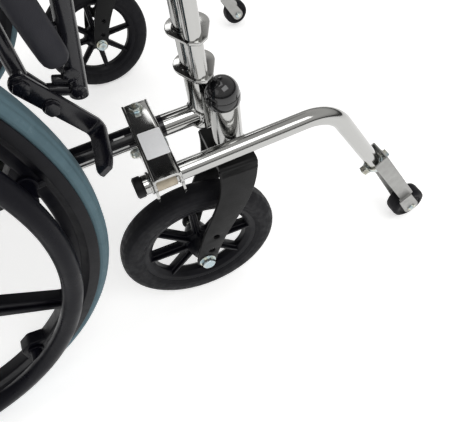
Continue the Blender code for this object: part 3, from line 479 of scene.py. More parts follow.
def square_to(direction):
    """Two unit directions at right angles to this one, the first as level as it can be."""
    hint = UP if abs(direction.normalized().z) < 0.9 else FORWARD
    first = direction.cross(hint).normalized()
    return first, direction.cross(first).normalized()


def sweep(path, outline, closed=False, scales=None):
    """An outline of (across, along) offsets carried along a path without twisting."""
    points = [Vector(p) for p in path]
    count = len(points)
    ways = []
    for i in range(count):
        before = points[i - 1] if i or closed else points[i]
        after = points[(i + 1) % count] if i + 1 < count or closed else points[i]
        ways.append((after - before).normalized())
    first, second = square_to(ways[0])
    rings = []
    for i, (point, way) in enumerate(zip(points, ways)):
        if i:
            turn = ways[i - 1].rotation_difference(way)
            first.rotate(turn)
            second.rotate(turn)
        scale = scales[i] if scales else 1.0
        rings.append([point + scale * (u * first + v * second) for u, v in outline])
    return skin(rings, closed)


def circle(radius, steps=32):
    return [(radius * cos(2 * pi * k / steps), radius * sin(2 * pi * k / steps)) for k in range(steps)]


def tube(path, radius, steps=36):
    """A round bar or tube along a path, the rims of its two ends softened."""
    points = [Vector(p) for p in path]
    soft = min(0.0008, radius * 0.2)
    start, end = (points[1] - points[0]).normalized(), (points[-2] - points[-1]).normalized()
    inner = [points[0] + start * soft] + points[1:-1] + [points[-1] + end * soft]
    scales = [1 - soft / radius] + [1.0] * len(inner) + [1 - soft / radius]
    return sweep([points[0]] + inner + [points[-1]], circle(radius, steps), scales=scales)


def pipe(start, end, outer, inner, steps=36):
    """A straight tube that is open at both ends."""
    start, end = Vector(start), Vector(end)
    way = (end - start).normalized()
    soft = min(0.0004, (outer - inner) * 0.3)
    first, second = square_to(way)
    length = (end - start).length
    profile = [(inner, soft), (inner + soft, 0), (outer - soft, 0), (outer, soft), (outer, length - soft)]
    profile += [(outer - soft, length), (inner + soft, length), (inner, length - soft)]
    rings = []
    for radius, height in profile:
        rings.append([start + way * height + u * first + v * second for u, v in circle(radius, steps)])
    return skin(rings, closed=True)


def filleted(corners, radius, steps=12):
    """A path through these corners, each inner corner rounded to the radius."""
    corners = [Vector(c) for c in corners]
    path = [corners[0]]
    for before, corner, after in zip(corners, corners[1:], corners[2:]):
        path += rounded_corner(before, corner, after, radius, steps)
    path.append(corners[-1])
    return path


def rounded_corner(before, corner, after, radius, steps):
    back, on = (before - corner).normalized(), (after - corner).normalized()
    half = back.angle(on) / 2
    radius = min(radius, 0.48 * tan(half) * min((before - corner).length, (after - corner).length))
    if radius < 1e-6 or half > pi / 2 - 0.02:
        return [corner]
    centre = corner + (back + on).normalized() * (radius / sin(half))
    start = corner + back * (radius / tan(half)) - centre
    end = corner + on * (radius / tan(half)) - centre
    return [centre + start.slerp(end, i / steps).normalized() * radius for i in range(steps + 1)]


def softened(outline, radius, steps=4):
    """A closed outline with its corners rounded, all to one radius or each to its own."""
    radii = radius if isinstance(radius, (list, tuple)) else [radius] * len(outline)
    points = [Vector((*p, 0)) for p in outline]
    made = []
    for i, (corner, own) in enumerate(zip(points, radii)):
        before, after = points[i - 1], points[(i + 1) % len(points)]
        made += rounded_corner(before, corner, after, own, steps)
    return [(p.x, p.y) for p in made]


def lathe(profile, centre, axis="Y", steps=96, soft=0.0):
    """A profile of (radius, height) points turned round an axis through the centre.

    A profile that starts and ends on the axis makes a solid, and any other closes on itself as a ring.
    """
    if soft:
        if profile[0][0] > 0:
            profile = softened(profile, soft, 3)
        else:
            radii = [0] + [soft] * (len(profile) - 2) + [0]
            profile = softened(profile, radii, 3)
    bm = bmesh.new()
    rings = []
    for radius, height in profile:
        ring = []
        radius = max(radius, 0)
        for k in range(1 if radius == 0 else steps):
            angle = 2 * pi * (k + 0.5) / steps
            u, v = radius * cos(angle), radius * sin(angle)
            place = {"Y": (u, height, v), "Z": (u, v, height), "X": (height, u, v)}[axis]
            ring.append(bm.verts.new(Vector(centre) + Vector(place)))
        rings.append(ring)
    pairs = list(zip(rings, rings[1:]))
    if profile[0][0] > 0:
        pairs.append((rings[-1], rings[0]))
    for first, second in pairs:
        for k in range(steps):
            around = [first[k % len(first)], first[(k + 1) % len(first)]]
            around += [second[(k + 1) % len(second)], second[k % len(second)]]
            around = list(dict.fromkeys(around))
            if len(around) > 2:
                bm.faces.new(around)
    return mesh_of(bm)


def plate(outline, low, high, axis="Y", holes=(), edge=0.0006):
    """A flat plate with rounded edges and any holes, between two heights along an axis.

    Its outline is of (x, z) points for Y, (x, y) for Z and (y, z) for X.
    """
    edge = min(edge, (high - low) * 0.45)
    curve = bpy.data.curves.new("plate", "CURVE")
    curve.dimensions = "2D"
    curve.fill_mode = "BOTH"
    curve.extrude = (high - low) / 2 - edge
    curve.bevel_depth = edge
    curve.bevel_resolution = 2
    curve.offset = -edge
    for ring in (outline, *holes):
        spline = curve.splines.new("POLY")
        spline.points.add(len(ring) - 1)
        for point, (u, v) in zip(spline.points, ring):
            point.co = (u, v, 0, 1)
        spline.use_cyclic_u = True
    drawn = bpy.data.objects.new("plate", curve)
    bpy.context.scene.collection.objects.link(drawn)
    bpy.context.view_layer.update()
    graph = bpy.context.evaluated_depsgraph_get()
    bm = bmesh.new()
    flat = bpy.data.meshes.new_from_object(drawn.evaluated_get(graph))
    bm.from_mesh(flat)
    bpy.data.meshes.remove(flat)
    bpy.data.objects.remove(drawn)
    bpy.data.curves.remove(curve)
    bmesh.ops.remove_doubles(bm, verts=bm.verts, dist=1e-6)
    middle = (low + high) / 2
    for vertex in bm.verts:
        u, v, w = vertex.co
        w += middle
        vertex.co = {"Y": (u, w, v), "Z": (u, v, w), "X": (w, u, v)}[axis]
    return mesh_of(bm)


def box(low, high, edge=0.0006, axis="Z"):
    """A block with rounded edges."""
    spans = {"Z": (0, 1, 2), "Y": (0, 2, 1), "X": (1, 2, 0)}[axis]
    u, v, w = spans
    outline = [(low[u], low[v]), (high[u], low[v]), (high[u], high[v]), (low[u], high[v])]
    shape = softened(outline, edge * 1.5)
    return plate(shape, low[w], high[w], axis, edge=edge)


def turned(mesh, pivot, angle, axis):
    """Turns a loose mesh about a point."""
    there = Matrix.Translation(Vector(pivot))
    mesh.transform(there @ Matrix.Rotation(angle, 4, axis) @ there.inverted())
    return mesh


def aimed(mesh, place, way):
    """Moves a mesh that was made round +Z from the world's middle to a place, pointing along a way."""
    turn = Vector(way).normalized().to_track_quat("Z", "Y").to_matrix().to_4x4()
    mesh.transform(Matrix.Translation(Vector(place)) @ turn)
    return mesh


def hexagon(place, way, corner, height):
    """A six-sided bolt head or nut that stands on a place, its outer rim chamfered."""
    rings = []
    profile = [(1.0, 0), (1.0, height * 0.78), (0.955, height * 0.93), (0.86, height), (0.30, height)]
    for scale, lift in profile:
        ring = []
        for k in range(24):
            angle = 2 * pi * k / 24
            flat = cos(pi / 6) / cos((angle % (pi / 3)) - pi / 6)
            radius = corner * flat if lift < height * 0.8 else corner * min(flat, scale)
            ring.append(Vector((radius * cos(angle), radius * sin(angle), lift)))
        rings.append(ring)
    return aimed(skin(rings), place, way)


def disc(place, way, radius, height, soft=0.0004, hole=0.0, steps=32):
    """A washer, button or short round bar that stands on a place."""
    inner = hole
    profile = [(inner, 0), (radius, 0), (radius, height), (inner, height)]
    radii = [0, soft, soft, 0] if inner == 0 else soft
    return aimed(lathe(softened(profile, radii, 3), (0, 0, 0), "Z", steps), place, way)


def domed(place, way, radius, height, steps=32):
    """A button head: a low dome that stands on a place."""
    profile = [(0, 0), (radius, 0), (radius, height * 0.3)]
    for i in range(1, 8):
        angle = pi / 2 * i / 8
        profile.append((radius * cos(angle), height * (0.3 + 0.7 * sin(angle))))
    profile.append((0, height))
    return aimed(lathe(profile, (0, 0, 0), "Z", steps), place, way)


def bolted(start, end, radius, corner, height, washer=0.0008, acorn=False):
    """A bolt through from start to end: its head and washer outside start, its nut outside end."""
    start, end = Vector(start), Vector(end)
    way = (end - start).normalized()
    wide = corner * 1.22
    shapes = [tube([start - way * 0.001, end + way * (height + 0.001)], radius, 20)]
    shapes.append(disc(start, -way, wide, washer))
    shapes.append(hexagon(start - way * washer, -way, corner, height))
    shapes.append(disc(end, way, wide, washer))
    shapes.append(hexagon(end + way * washer, way, corner, height))
    if acorn:
        shapes.append(domed(end + way * (washer + height * 0.9), way, corner * 0.82, corner * 0.8))
    return shapes


def weld(place, way, radius, other_axis, other_radius, bead=0.0016, ripples=1.0):
    """The bead where a round tube, coming along a way, meets another tube.

    The place is on the other tube's axis.
    """
    way, other_axis = Vector(way).normalized(), Vector(other_axis).normalized()
    side = way.cross(other_axis).normalized()
    along = side.cross(way)
    path, scales = [], []
    steps = 96
    for k in range(steps):
        angle = 2 * pi * k / steps
        u, v = (radius + bead * 0.3) * cos(angle), (radius + bead * 0.3) * sin(angle)
        depth = sqrt(max(other_radius**2 - v**2, (other_radius * 0.2) ** 2))
        path.append(Vector(place) + way * (depth + bead * 0.2) + along * u + side * v)
        scales.append(1 + 0.10 * ripples * sin(angle * 24))
    return sweep(path, circle(bead, 10), closed=True, scales=scales)


# Pieces


def joined(shapes):
    bm = bmesh.new()
    for shape in shapes:
        bm.from_mesh(shape)
        bpy.data.meshes.remove(shape)
    mesh = bpy.data.meshes.new("joined")
    bm.to_mesh(mesh)
    bm.free()
    return mesh


def finished(name, mesh, body, finish, bevel=0.0, sharp=35):
    mesh.name = name
    mesh.transform(Matrix.Translation(ORIGIN))
    mesh.materials.clear()
    mesh.materials.append(finish.material)
    mesh.shade_smooth()
    mesh.set_sharp_from_angle(angle=radians(sharp))
    made = bpy.data.objects.new(name, mesh)
    bpy.context.scene.collection.objects.link(made)
    if bevel:
        change = made.modifiers.new("soft_edges", "BEVEL")
        change.width = bevel
        change.segments = 3
        change.limit_method = "ANGLE"
        change.angle_limit = radians(40)
        change.harden_normals = True
    if body:
        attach(made, body)
    return made


def pair(name, shapes, body, finish, stands_for=(), bevel=0.0, sharp=35):
    """A piece on the right-hand side and its mirror image on the left. Returns both."""
    mesh = joined(shapes)
    other = mesh.copy()
    other.transform(Matrix.Scale(-1, 4, (0, 1, 0)))
    other.flip_normals()
    made = []
    for side, data in (("right", mesh), ("left", other)):
        one = finished(f"{name}_{side}", data, f"{body}_{side}", finish, bevel, sharp)
        if stands_for:
            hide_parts(*[f"{stem}_{side}" for stem in stands_for])
        made.append(one)
    return made


def single(name, shapes, body, finish, stands_for=(), bevel=0.0, sharp=35):
    made = finished(name, joined(shapes), body, finish, bevel, sharp)
    if stands_for:
        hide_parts(*stands_for)
    return made


def right(x, y, z):
    """A point on the right-hand side, given how far it is from the middle of the chair."""
    return Vector((x, -y, z))


def arc(centre, radius, start, end, steps):
    turns = [start + (end - start) * i / steps for i in range(steps + 1)]
    return [(centre[0] + radius * cos(t), centre[1] + radius * sin(t)) for t in turns]


# The side frame


def back_cane():
    corners = [right(0, FRAME_Y, CANE_FOOT), right(0, FRAME_Y, HANDLE_Z),
               right(HANDLE_REAR, FRAME_Y, HANDLE_Z)]
    shapes = [tube(filleted(corners, CANE_BEND, 20), TUBE)]
    shapes.append(pipe(right(0, 0.226, REAR_RADIUS), right(0, 0.2585, REAR_RADIUS), 0.0140, 0.0064))
    for way in (1, -1):
        shapes.append(weld(right(0, FRAME_Y, REAR_RADIUS), UP * way, TUBE, LEFT, 0.0140))
    shapes.append(weld(right(0, FRAME_Y, RAIL_Z), FORWARD, TUBE, UP, TUBE))
    pair("cane", shapes, "frame", CHROME, ["back_cane"])
    foot = right(0, FRAME_Y, CANE_FOOT + 0.0005)
    pair("cane_plug", [domed(foot, DOWN, TUBE * 0.98, 0.004)], "frame", PLASTIC)
    screws = []
    for i in range(5):
        height = BACK_LOW + 0.035 + i * (BACK_HIGH - BACK_LOW - 0.07) / 4
        screws += [disc(right(-0.0128, FRAME_Y, height), (-1, 0, 0), 0.0058, 0.0009)]
        screws += [domed(right(-0.0136, FRAME_Y, height), (-1, 0, 0), 0.0042, 0.0022)]
    pair("back_screws", screws, "frame", ZINC)


def teardrop(height):
    """A hinge plate round the upright and the leg rest's receiver, drawn as one smooth outline."""
    outline = arc((UPRIGHT_X + 0.002, -FRAME_Y + 0.002), 0.0197, radians(-20), radians(200), 20)
    outline += [(UPRIGHT_X - 0.008, -0.268), (UPRIGHT_X + 0.001, -0.2735), (UPRIGHT_X + 0.010, -0.268)]
    radii = [0] * 21 + [0.006, 0.0035, 0.006]
    return plate(softened(outline, radii, 5), height - 0.0015, height + 0.0015, "Z", edge=0.0007)


def front_frame():
    rear = right(TUBE + 2 * GAP, FRAME_Y, RAIL_Z)
    corner, foot = right(UPRIGHT_X, FRAME_Y, RAIL_Z), right(UPRIGHT_X, FRAME_Y, UPRIGHT_FOOT)
    shapes = [tube(filleted([rear, corner, foot], RAIL_BEND, 20), TUBE)]
    stem = right(STEM_X, STEM_Y, 0)
    shapes.append(pipe(stem + UP * HOUSING_LOW, stem + UP * HOUSING_TOP, HOUSING, 0.0085, 64))
    for height in (HOUSING_LOW + 0.0022, HOUSING_TOP - 0.0030):
        path = [stem + Vector((u, v, height)) for u, v in circle(HOUSING - 0.0002, 64)]
        shapes.append(sweep(path, circle(0.0006, 8), closed=True))
    web = box((UPRIGHT_X, -STEM_Y, 0.263), (UPRIGHT_X + 0.005, -FRAME_Y, 0.297), 0.0009)
    angle = radians(37)
    shapes.append(turned(web, right(UPRIGHT_X, FRAME_Y, 0.28), angle, "Z"))
    for height in (0.263, 0.297):
        start = right(UPRIGHT_X + 0.0075, FRAME_Y + 0.0088, height)
        end = right(STEM_X - 0.0090, STEM_Y - 0.0130, height)
        path = [start.lerp(end, i / 24) for i in range(25)]
        scales = [1 + 0.16 * sin(i * 1.6) for i in range(25)]
        shapes.append(sweep(path, circle(0.0019, 10), scales=scales))
    receiver = UPRIGHT_X - 0.0005
    shapes.append(pipe(right(receiver, 0.2615, 0.3405), right(receiver, 0.2615, 0.440), 0.0078, 0.0062))
    shapes += [teardrop(height) for height in TEARDROPS]
    for height in TEARDROPS:
        ring = [right(UPRIGHT_X, FRAME_Y, height + 0.0016) + Vector((u, v, 0))
                for u, v in circle(TUBE + 0.0006, 48)]
        shapes.append(sweep(ring, circle(0.0010, 8), closed=True))
    shapes.append(weld(right(UPRIGHT_X, FRAME_Y, LOWER_Z), (-1, 0, 0), TUBE, UP, TUBE, 0.0018))
    for post in (REAR_POST_X, FRONT_POST_X):
        shapes.append(pipe(right(post, FRAME_Y, RAIL_Z + 0.004), right(post, FRAME_Y, 0.520), 0.0128,
                           0.0099))
        shapes.append(weld(right(post, FRAME_Y, RAIL_Z), UP, 0.0128, FORWARD, TUBE, 0.0015))
    pair("side_frame", shapes, "frame", CHROME, ["front_frame"])

    pair("receiver_plug", [domed(right(receiver, 0.2615, 0.3420), DOWN, 0.0080, 0.0045)], "frame",
         PLASTIC)
    pair("upright_plug",
         [domed(right(UPRIGHT_X, FRAME_Y, UPRIGHT_FOOT + 0.0004), DOWN, TUBE * 0.98, 0.0035)],
         "frame", PLASTIC)
    shapes = []
    for saddle in (0.095, 0.385):
        low, high = (saddle - 0.015, -0.240, 0.4600), (saddle + 0.015, -0.2030, 0.4665)
        shapes.append(box(low, high, 0.0014))
        low, high = (saddle - 0.015, -0.2055, 0.4610), (saddle + 0.015, -0.2030, 0.4740)
        shapes.append(box(low, high, 0.0010))
        collar = pipe(right(saddle - 0.013, FRAME_Y, RAIL_Z), right(saddle + 0.013, FRAME_Y, RAIL_Z),
                      0.0126, 0.0109)
        shapes.append(collar)
    pair("seat_rail_guides", shapes, "frame", PLASTIC)
    screws = []
    for post in (REAR_POST_X, FRONT_POST_X):
        screws.append(domed(right(post, FRAME_Y + 0.0124, 0.505), (0, -1, 0), 0.0045, 0.0022))
    pair("arm_socket_buttons", screws, "frame", ZINC)


def lower_tube():
    start, end = right(0.0150, FRAME_Y, LOWER_Z), right(UPRIGHT_X - TUBE * 0.5, FRAME_Y, LOWER_Z)
    shapes = [tube([start, end], TUBE)]
    for lug in (BRACE_X - 0.050, BRACE_X + 0.046):
        outline = [(-FRAME_Y, LOWER_Z - 0.009), (-SEAT_RAIL_Y, LOWER_Z - 0.009),
                   (-SEAT_RAIL_Y + 0.009, LOWER_Z - 0.009)]
        outline += [(-SEAT_RAIL_Y + 0.009, LOWER_Z + 0.009), (-FRAME_Y, LOWER_Z + 0.009)]
        shapes.append(plate(softened(outline, [0, 0, 0.008, 0.008, 0], 8), lug, lug + 0.004, "X",
                            edge=0.0008))
    shapes.append(weld(right(0, FRAME_Y, LOWER_Z), FORWARD, TUBE, UP, TUBE + 0.002, 0.0017))
    pair("lower_rail", shapes, "frame", CHROME, ["lower_side_tube"])
    pin_start, pin_end = right(BRACE_X - 0.0505, SEAT_RAIL_Y, LOWER_Z), right(BRACE_X + 0.0505,
                                                                              SEAT_RAIL_Y, LOWER_Z)
    pair("brace_hinge_bolt", bolted(pin_start, pin_end, BRACE_PIN - 0.0004, 0.0075, 0.0050, acorn=True),
         "frame", ZINC)
    # A wrap of black film over the tube's upper and outer side, with grey strips on it that are painted
    # reflections: the overhead light's highlight near the top and the floor's reflection on the outer
    # side.
    inner, outer = TUBE + 0.00002, TUBE + 0.00018
    turns = [radians(18 + (192 - 18) * i / 48) for i in range(49)]
    rings = []
    for x in WRAP:
        ring = [right(x, FRAME_Y, LOWER_Z) + Vector((0, outer * cos(t), outer * sin(t))) for t in turns]
        ring += [right(x, FRAME_Y, LOWER_Z) + Vector((0, inner * cos(t), inner * sin(t)))
                 for t in reversed(turns)]
        rings.append(ring)
    pair("rail_wrap", [skin(rings)], "frame", DECAL)
    painted_reflections = []
    # Painted reflections: thin grey strips at 118 degrees for the overhead light's highlight and at 172
    # degrees for the floor's reflection.
    for x_start, x_end, turn in ((0.338, 0.349, 118), (0.270, 0.318, 172), (0.333, 0.350, 172)):
        rings = []
        for x in (x_start, x_end):
            ring = []
            for radius in (outer + 0.00012, outer):
                for step in range(5):
                    t = radians(turn + (step - 2) * (2.2 if radius > outer else -2.2))
                    ring.append(right(x, FRAME_Y,
                                      LOWER_Z) + Vector((0, radius * cos(t), radius * sin(t))))
            rings.append(ring)
        painted_reflections.append(skin(rings))
    pair("rail_wrap_painted_reflections", painted_reflections, "frame", PAINTED_REFLECTION_FILM)


def push_grip():
    """A ribbed hand grip, with a flange at its front and finger swells between."""
    inner = TUBE + GAP
    profile = [(inner, -0.1490), (inner, -0.0525), (0.0205, -0.0525), (0.0210, -0.0540),
               (0.0205, -0.0560), (0.0160, -0.0575)]
    ribs = 25
    for i in range(ribs * 4):
        x = -0.0585 - 0.0850 * i / (ribs * 4)
        swell = 0.0158 + 0.0009 * cos((x + 0.0585) * 2 * pi / 0.0290)
        ridge = 0.0005 if i % 4 in (1, 2) else 0.0
        profile.append((swell + ridge, x))
    profile += [(0.0162, -0.1450), (0.0158, -0.1485), (0.0140, -0.1510), (0.0060, -0.1525),
                (0.0045, -0.1515)]
    profile += [(0.0045, -0.1490)]
    pair("hand_grip", [lathe(profile, right(0, FRAME_Y, HANDLE_Z), "X", 64)], "frame", RUBBER,
         ["push_grip"])


def caster_cap():
    skirt, shelf = HOUSING + 2 * GAP, HOUSING_TOP + GAP
    centre, radius = HOUSING_TOP + 0.0080, 0.0165
    profile = [(0, shelf), (skirt, shelf), (skirt, shelf - 0.0016), (0.0168, shelf - 0.0018),
               (0.0171, shelf - 0.0010)]
    profile += [(0.0171, centre - 0.0022), (0.0168, centre - 0.0014), (0.0166, centre - 0.0012)]
    profile += [(r, z + centre) for r, z in arc((0, 0), radius, 0, pi / 2, 20)[:-1]]
    profile += [(0, centre + radius)]
    pair("stem_dome", [lathe(profile, right(STEM_X, STEM_Y, 0), "Z")], "frame", DOME, ["caster_cap"])
    ring = pipe(right(STEM_X, STEM_Y, 0.2548), right(STEM_X, STEM_Y, 0.2562), HOUSING - 0.0008, 0.0070,
                48)
    pair("headset_ring", [ring], "frame", ZINC)


def rear_axle():
    z = REAR_RADIUS
    shapes = [tube([right(0, 0.2200, z), right(0, 0.3250, z)], 0.0060, 28)]
    shapes.append(hexagon(right(0, 0.2262, z), LEFT, 0.0105, 0.0068))
    shapes.append(disc(right(0, 0.2268, z), LEFT * -1, 0.0128, 0.0010))
    shapes.append(disc(right(0, 0.3222, z), LEFT * -1, 0.0140, 0.0014))
    shapes.append(hexagon(right(0, 0.3236, z), LEFT * -1, 0.0105, 0.0054))
    pair("axle_bolt", shapes, "frame", ZINC, ["rear_axle"])


# Wheels


def spoke_window(half_turn, inner, outer, base, tip, reach, round_in, round_out):
    """The outline of one opening between two spokes, about the +X direction.

    The spokes' half width runs from base at the middle of the wheel to tip at a radius of reach.
    """
    def edge(radius):
        half = base + (tip - base) * radius / reach
        return radius * sin(half_turn) - half

    low = [(inner, -edge(inner)), (inner, edge(inner))]
    turn = half_turn - (base + (tip - base) * outer / reach) / outer
    rim = arc((0, 0), outer, turn, -turn, 14)
    radii = [round_in, round_in, round_out] + [0] * 13 + [round_out]
    return softened(low + rim, radii, 8)


def wheel_disc(centre, count, first, half_thick, edge, window, rim, hub):
    """A disc with an opening between each two spokes.

    It is drawn a little round from its place, because the fill fails where two corners lie level.
    """
    off_level = 0.1137
    holes = []
    for i in range(count):
        angle = off_level + 2 * pi * (i + 0.5) / count
        holes.append([(u * cos(angle) - v * sin(angle), u * sin(angle) + v * cos(angle))
                      for u, v in window])
    holes.append(circle(hub, 48))
    shape = plate(circle(rim, 144), -half_thick, half_thick, "Y", holes, edge)
    shape.transform(Matrix.Translation(Vector(centre)))
    return turned(shape, centre, off_level - first, "Y")


def spoke_ribs(centre, count, first, start, end, half_width, low, high, edge):
    """A raised rib along each spoke."""
    ribs = []
    for i in range(count):
        outline = [(start, -half_width), (end, -half_width * 0.75), (end, half_width * 0.75),
                   (start, half_width)]
        rib = plate(softened(outline, half_width * 0.5, 3), low, high, "Y", edge=edge)
        rib.transform(Matrix.Translation(Vector(centre)))
        ribs.append(turned(rib, centre, -first - 2 * pi * i / count, "Y"))
    return ribs


def rear_wheel():
    centre = right(0, REAR_Y, REAR_RADIUS)
    tyre = [(0.2812, -0.0100), (0.2812, 0.0100), (0.2905, 0.0106), (0.2945, 0.0124), (0.2966, 0.0130)]
    crown = [(0.2992, 0.0124), (0.3014, 0.0108), (0.3024, 0.0093), (0.3021, 0.0087), (0.3026, 0.0081)]
    crown += [(0.3044, 0.0066), (0.3050, 0.0048)]
    tyre += crown + [(r, -y) for r, y in reversed(crown)]
    tyre += [(0.2966, -0.0130), (0.2945, -0.0124), (0.2905, -0.0106)]
    pair("tyre", [lathe(softened(tyre, 0.0007, 3), centre, steps=180)], "rear_wheel", TYRE_GREY,
         ["rear_tyre"])

    side = [(0.2655, WEB_HALF), (0.2765, WEB_HALF), (0.2830, RIM_HALF), (0.2935, RIM_HALF)]
    side += [(0.2935, 0.0128), (0.2900, 0.0111), (0.2811, 0.0104)]
    radii = [0.0022, 0.0020, 0.0014, 0.0012, 0.0004, 0.0004, 0.0003]
    rim = side + [(r, -y) for r, y in reversed(side)]
    shapes = [lathe(softened(rim, radii + radii[::-1], 4), centre, steps=180)]
    window = spoke_window(pi / SPOKE_COUNT, 0.066, 0.2656, 0.0133, 0.0092, 0.262, 0.014, 0.009)
    shapes.append(wheel_disc(centre, SPOKE_COUNT, FIRST_SPOKE, 0.0070, 0.0016, window, 0.2700, 0.020))
    for i in range(STANDOFF_COUNT):
        half = [(BOSS_INSIDE, BOSS_HALF), (0.2640, BOSS_SKIRT * 0.75), (BOSS_OUTSIDE, BOSS_SKIRT)]
        outline = [(r, -u) for r, u in half] + half[::-1]
        outline = softened(outline, [0.006, 0.008, 0.001, 0.001, 0.008, 0.006], 6)
        boss = plate(outline, 0.0002 - WEB_HALF, WEB_HALF - 0.0015, edge=0.0012)
        boss.transform(Matrix.Translation(centre))
        shapes.append(turned(boss, centre, -FIRST_STANDOFF - 2 * pi * i / STANDOFF_COUNT, "Y"))
    for low, high in ((-0.0105, -0.0065), (0.0065, 0.0105)):
        shapes += spoke_ribs(centre, SPOKE_COUNT, FIRST_SPOKE, 0.026, 0.2800, 0.0042, low, high, 0.0012)
    barrel = [(0.0064, -0.0225), (HUB_RADIUS - 0.006, -0.0225), (HUB_RADIUS - 0.001, -0.0150),
              (HUB_RADIUS + 0.010, -0.0072)]
    barrel += [(HUB_RADIUS + 0.010, 0.0072), (HUB_RADIUS, 0.0140), (HUB_RADIUS - 0.001, 0.0300)]
    barrel += [(HUB_RADIUS - 0.008, 0.0405), (0.0064, 0.0405)]
    shapes.append(lathe(barrel, centre, steps=72, soft=0.0016))
    pair("mag_wheel", shapes, "rear_wheel", RIM_PLASTIC, ["rear_rim"])
    bearings = []
    for face, way in ((-0.0222, -1), (0.0402, 1)):
        bearings.append(pipe(centre + LEFT * (face - way * 0.003), centre + LEFT * (face + way * 0.0006),
                             0.0155, 0.0115, 48))
        bearings.append(pipe(centre + LEFT * (face - way * 0.003), centre + LEFT * (face + way * 0.0002),
                             0.0112, 0.0064, 48))
    pair("wheel_bearings", bearings, "rear_wheel", ZINC)

    middle = right(0, HANDRIM_Y, REAR_RADIUS)
    path = [middle + Vector((u, 0, v)) for u, v in circle(HANDRIM_RADIUS, 200)]
    shapes = [sweep(path, circle(HANDRIM_TUBE, 28), closed=True)]
    screws = []
    for i in range(STANDOFF_COUNT):
        angle = FIRST_STANDOFF + 2 * pi * i / STANDOFF_COUNT
        out = Vector((cos(angle), 0, sin(angle))) * STANDOFF_REACH
        start, end = middle + out + LEFT * 0.006, centre + out - LEFT * (WEB_HALF + GAP)
        shapes.append(tube([start, end], 0.0065, 32))
        shapes.append(disc(end - LEFT * 0.0030, LEFT, 0.0088, 0.0030, 0.0010))
        head = centre + out + LEFT * (WEB_HALF - 0.0002)
        screws += [disc(head, LEFT, 0.0070, 0.0008), hexagon(head + LEFT * 0.0007, LEFT, 0.0052, 0.0034)]
    pair("push_ring", shapes, "rear_wheel", HANDRIM, ["handrim"])
    pair("push_ring_screws", screws, "rear_wheel", STEEL)


def blade_outline():
    """A fork blade from the crown to the axle, as a band of changing width along a smooth curve."""
    foot = Vector((-TRAIL, CASTER_RADIUS - CROWN_TOP))
    ways = [Vector((-0.0025, -0.0040)), Vector((-0.0025, -0.0680)), Vector((-0.0360, -0.0780)), foot]
    front, rear = [], []
    steps = 36
    for i in range(steps + 1):
        t = i / steps
        share = [(1 - t) ** 3, 3 * t * (1 - t) ** 2, 3 * t * t * (1 - t), t**3]
        slope = [-3 * (1 - t) ** 2, 3 * (1 - t) ** 2 - 6 * t * (1 - t), 6 * t * (1 - t) - 3 * t * t,
                 3 * t * t]
        point = sum((w * s for w, s in zip(ways, share)), Vector((0, 0)))
        along = sum((w * s for w, s in zip(ways, slope)), Vector((0, 0))).normalized()
        across = Vector((-along.y, along.x)) * (0.0212 - 0.0087 * t)
        front.append(point + across)
        rear.append(point - across)
    start = atan2(*(rear[-1] - foot).yx)
    round_end = [Vector(p) for p in arc(foot, 0.0125, start, start + pi, 18)]
    return [(STEM_X + p.x, CROWN_TOP + p.y) for p in rear + round_end[1:-1] + front[::-1]]


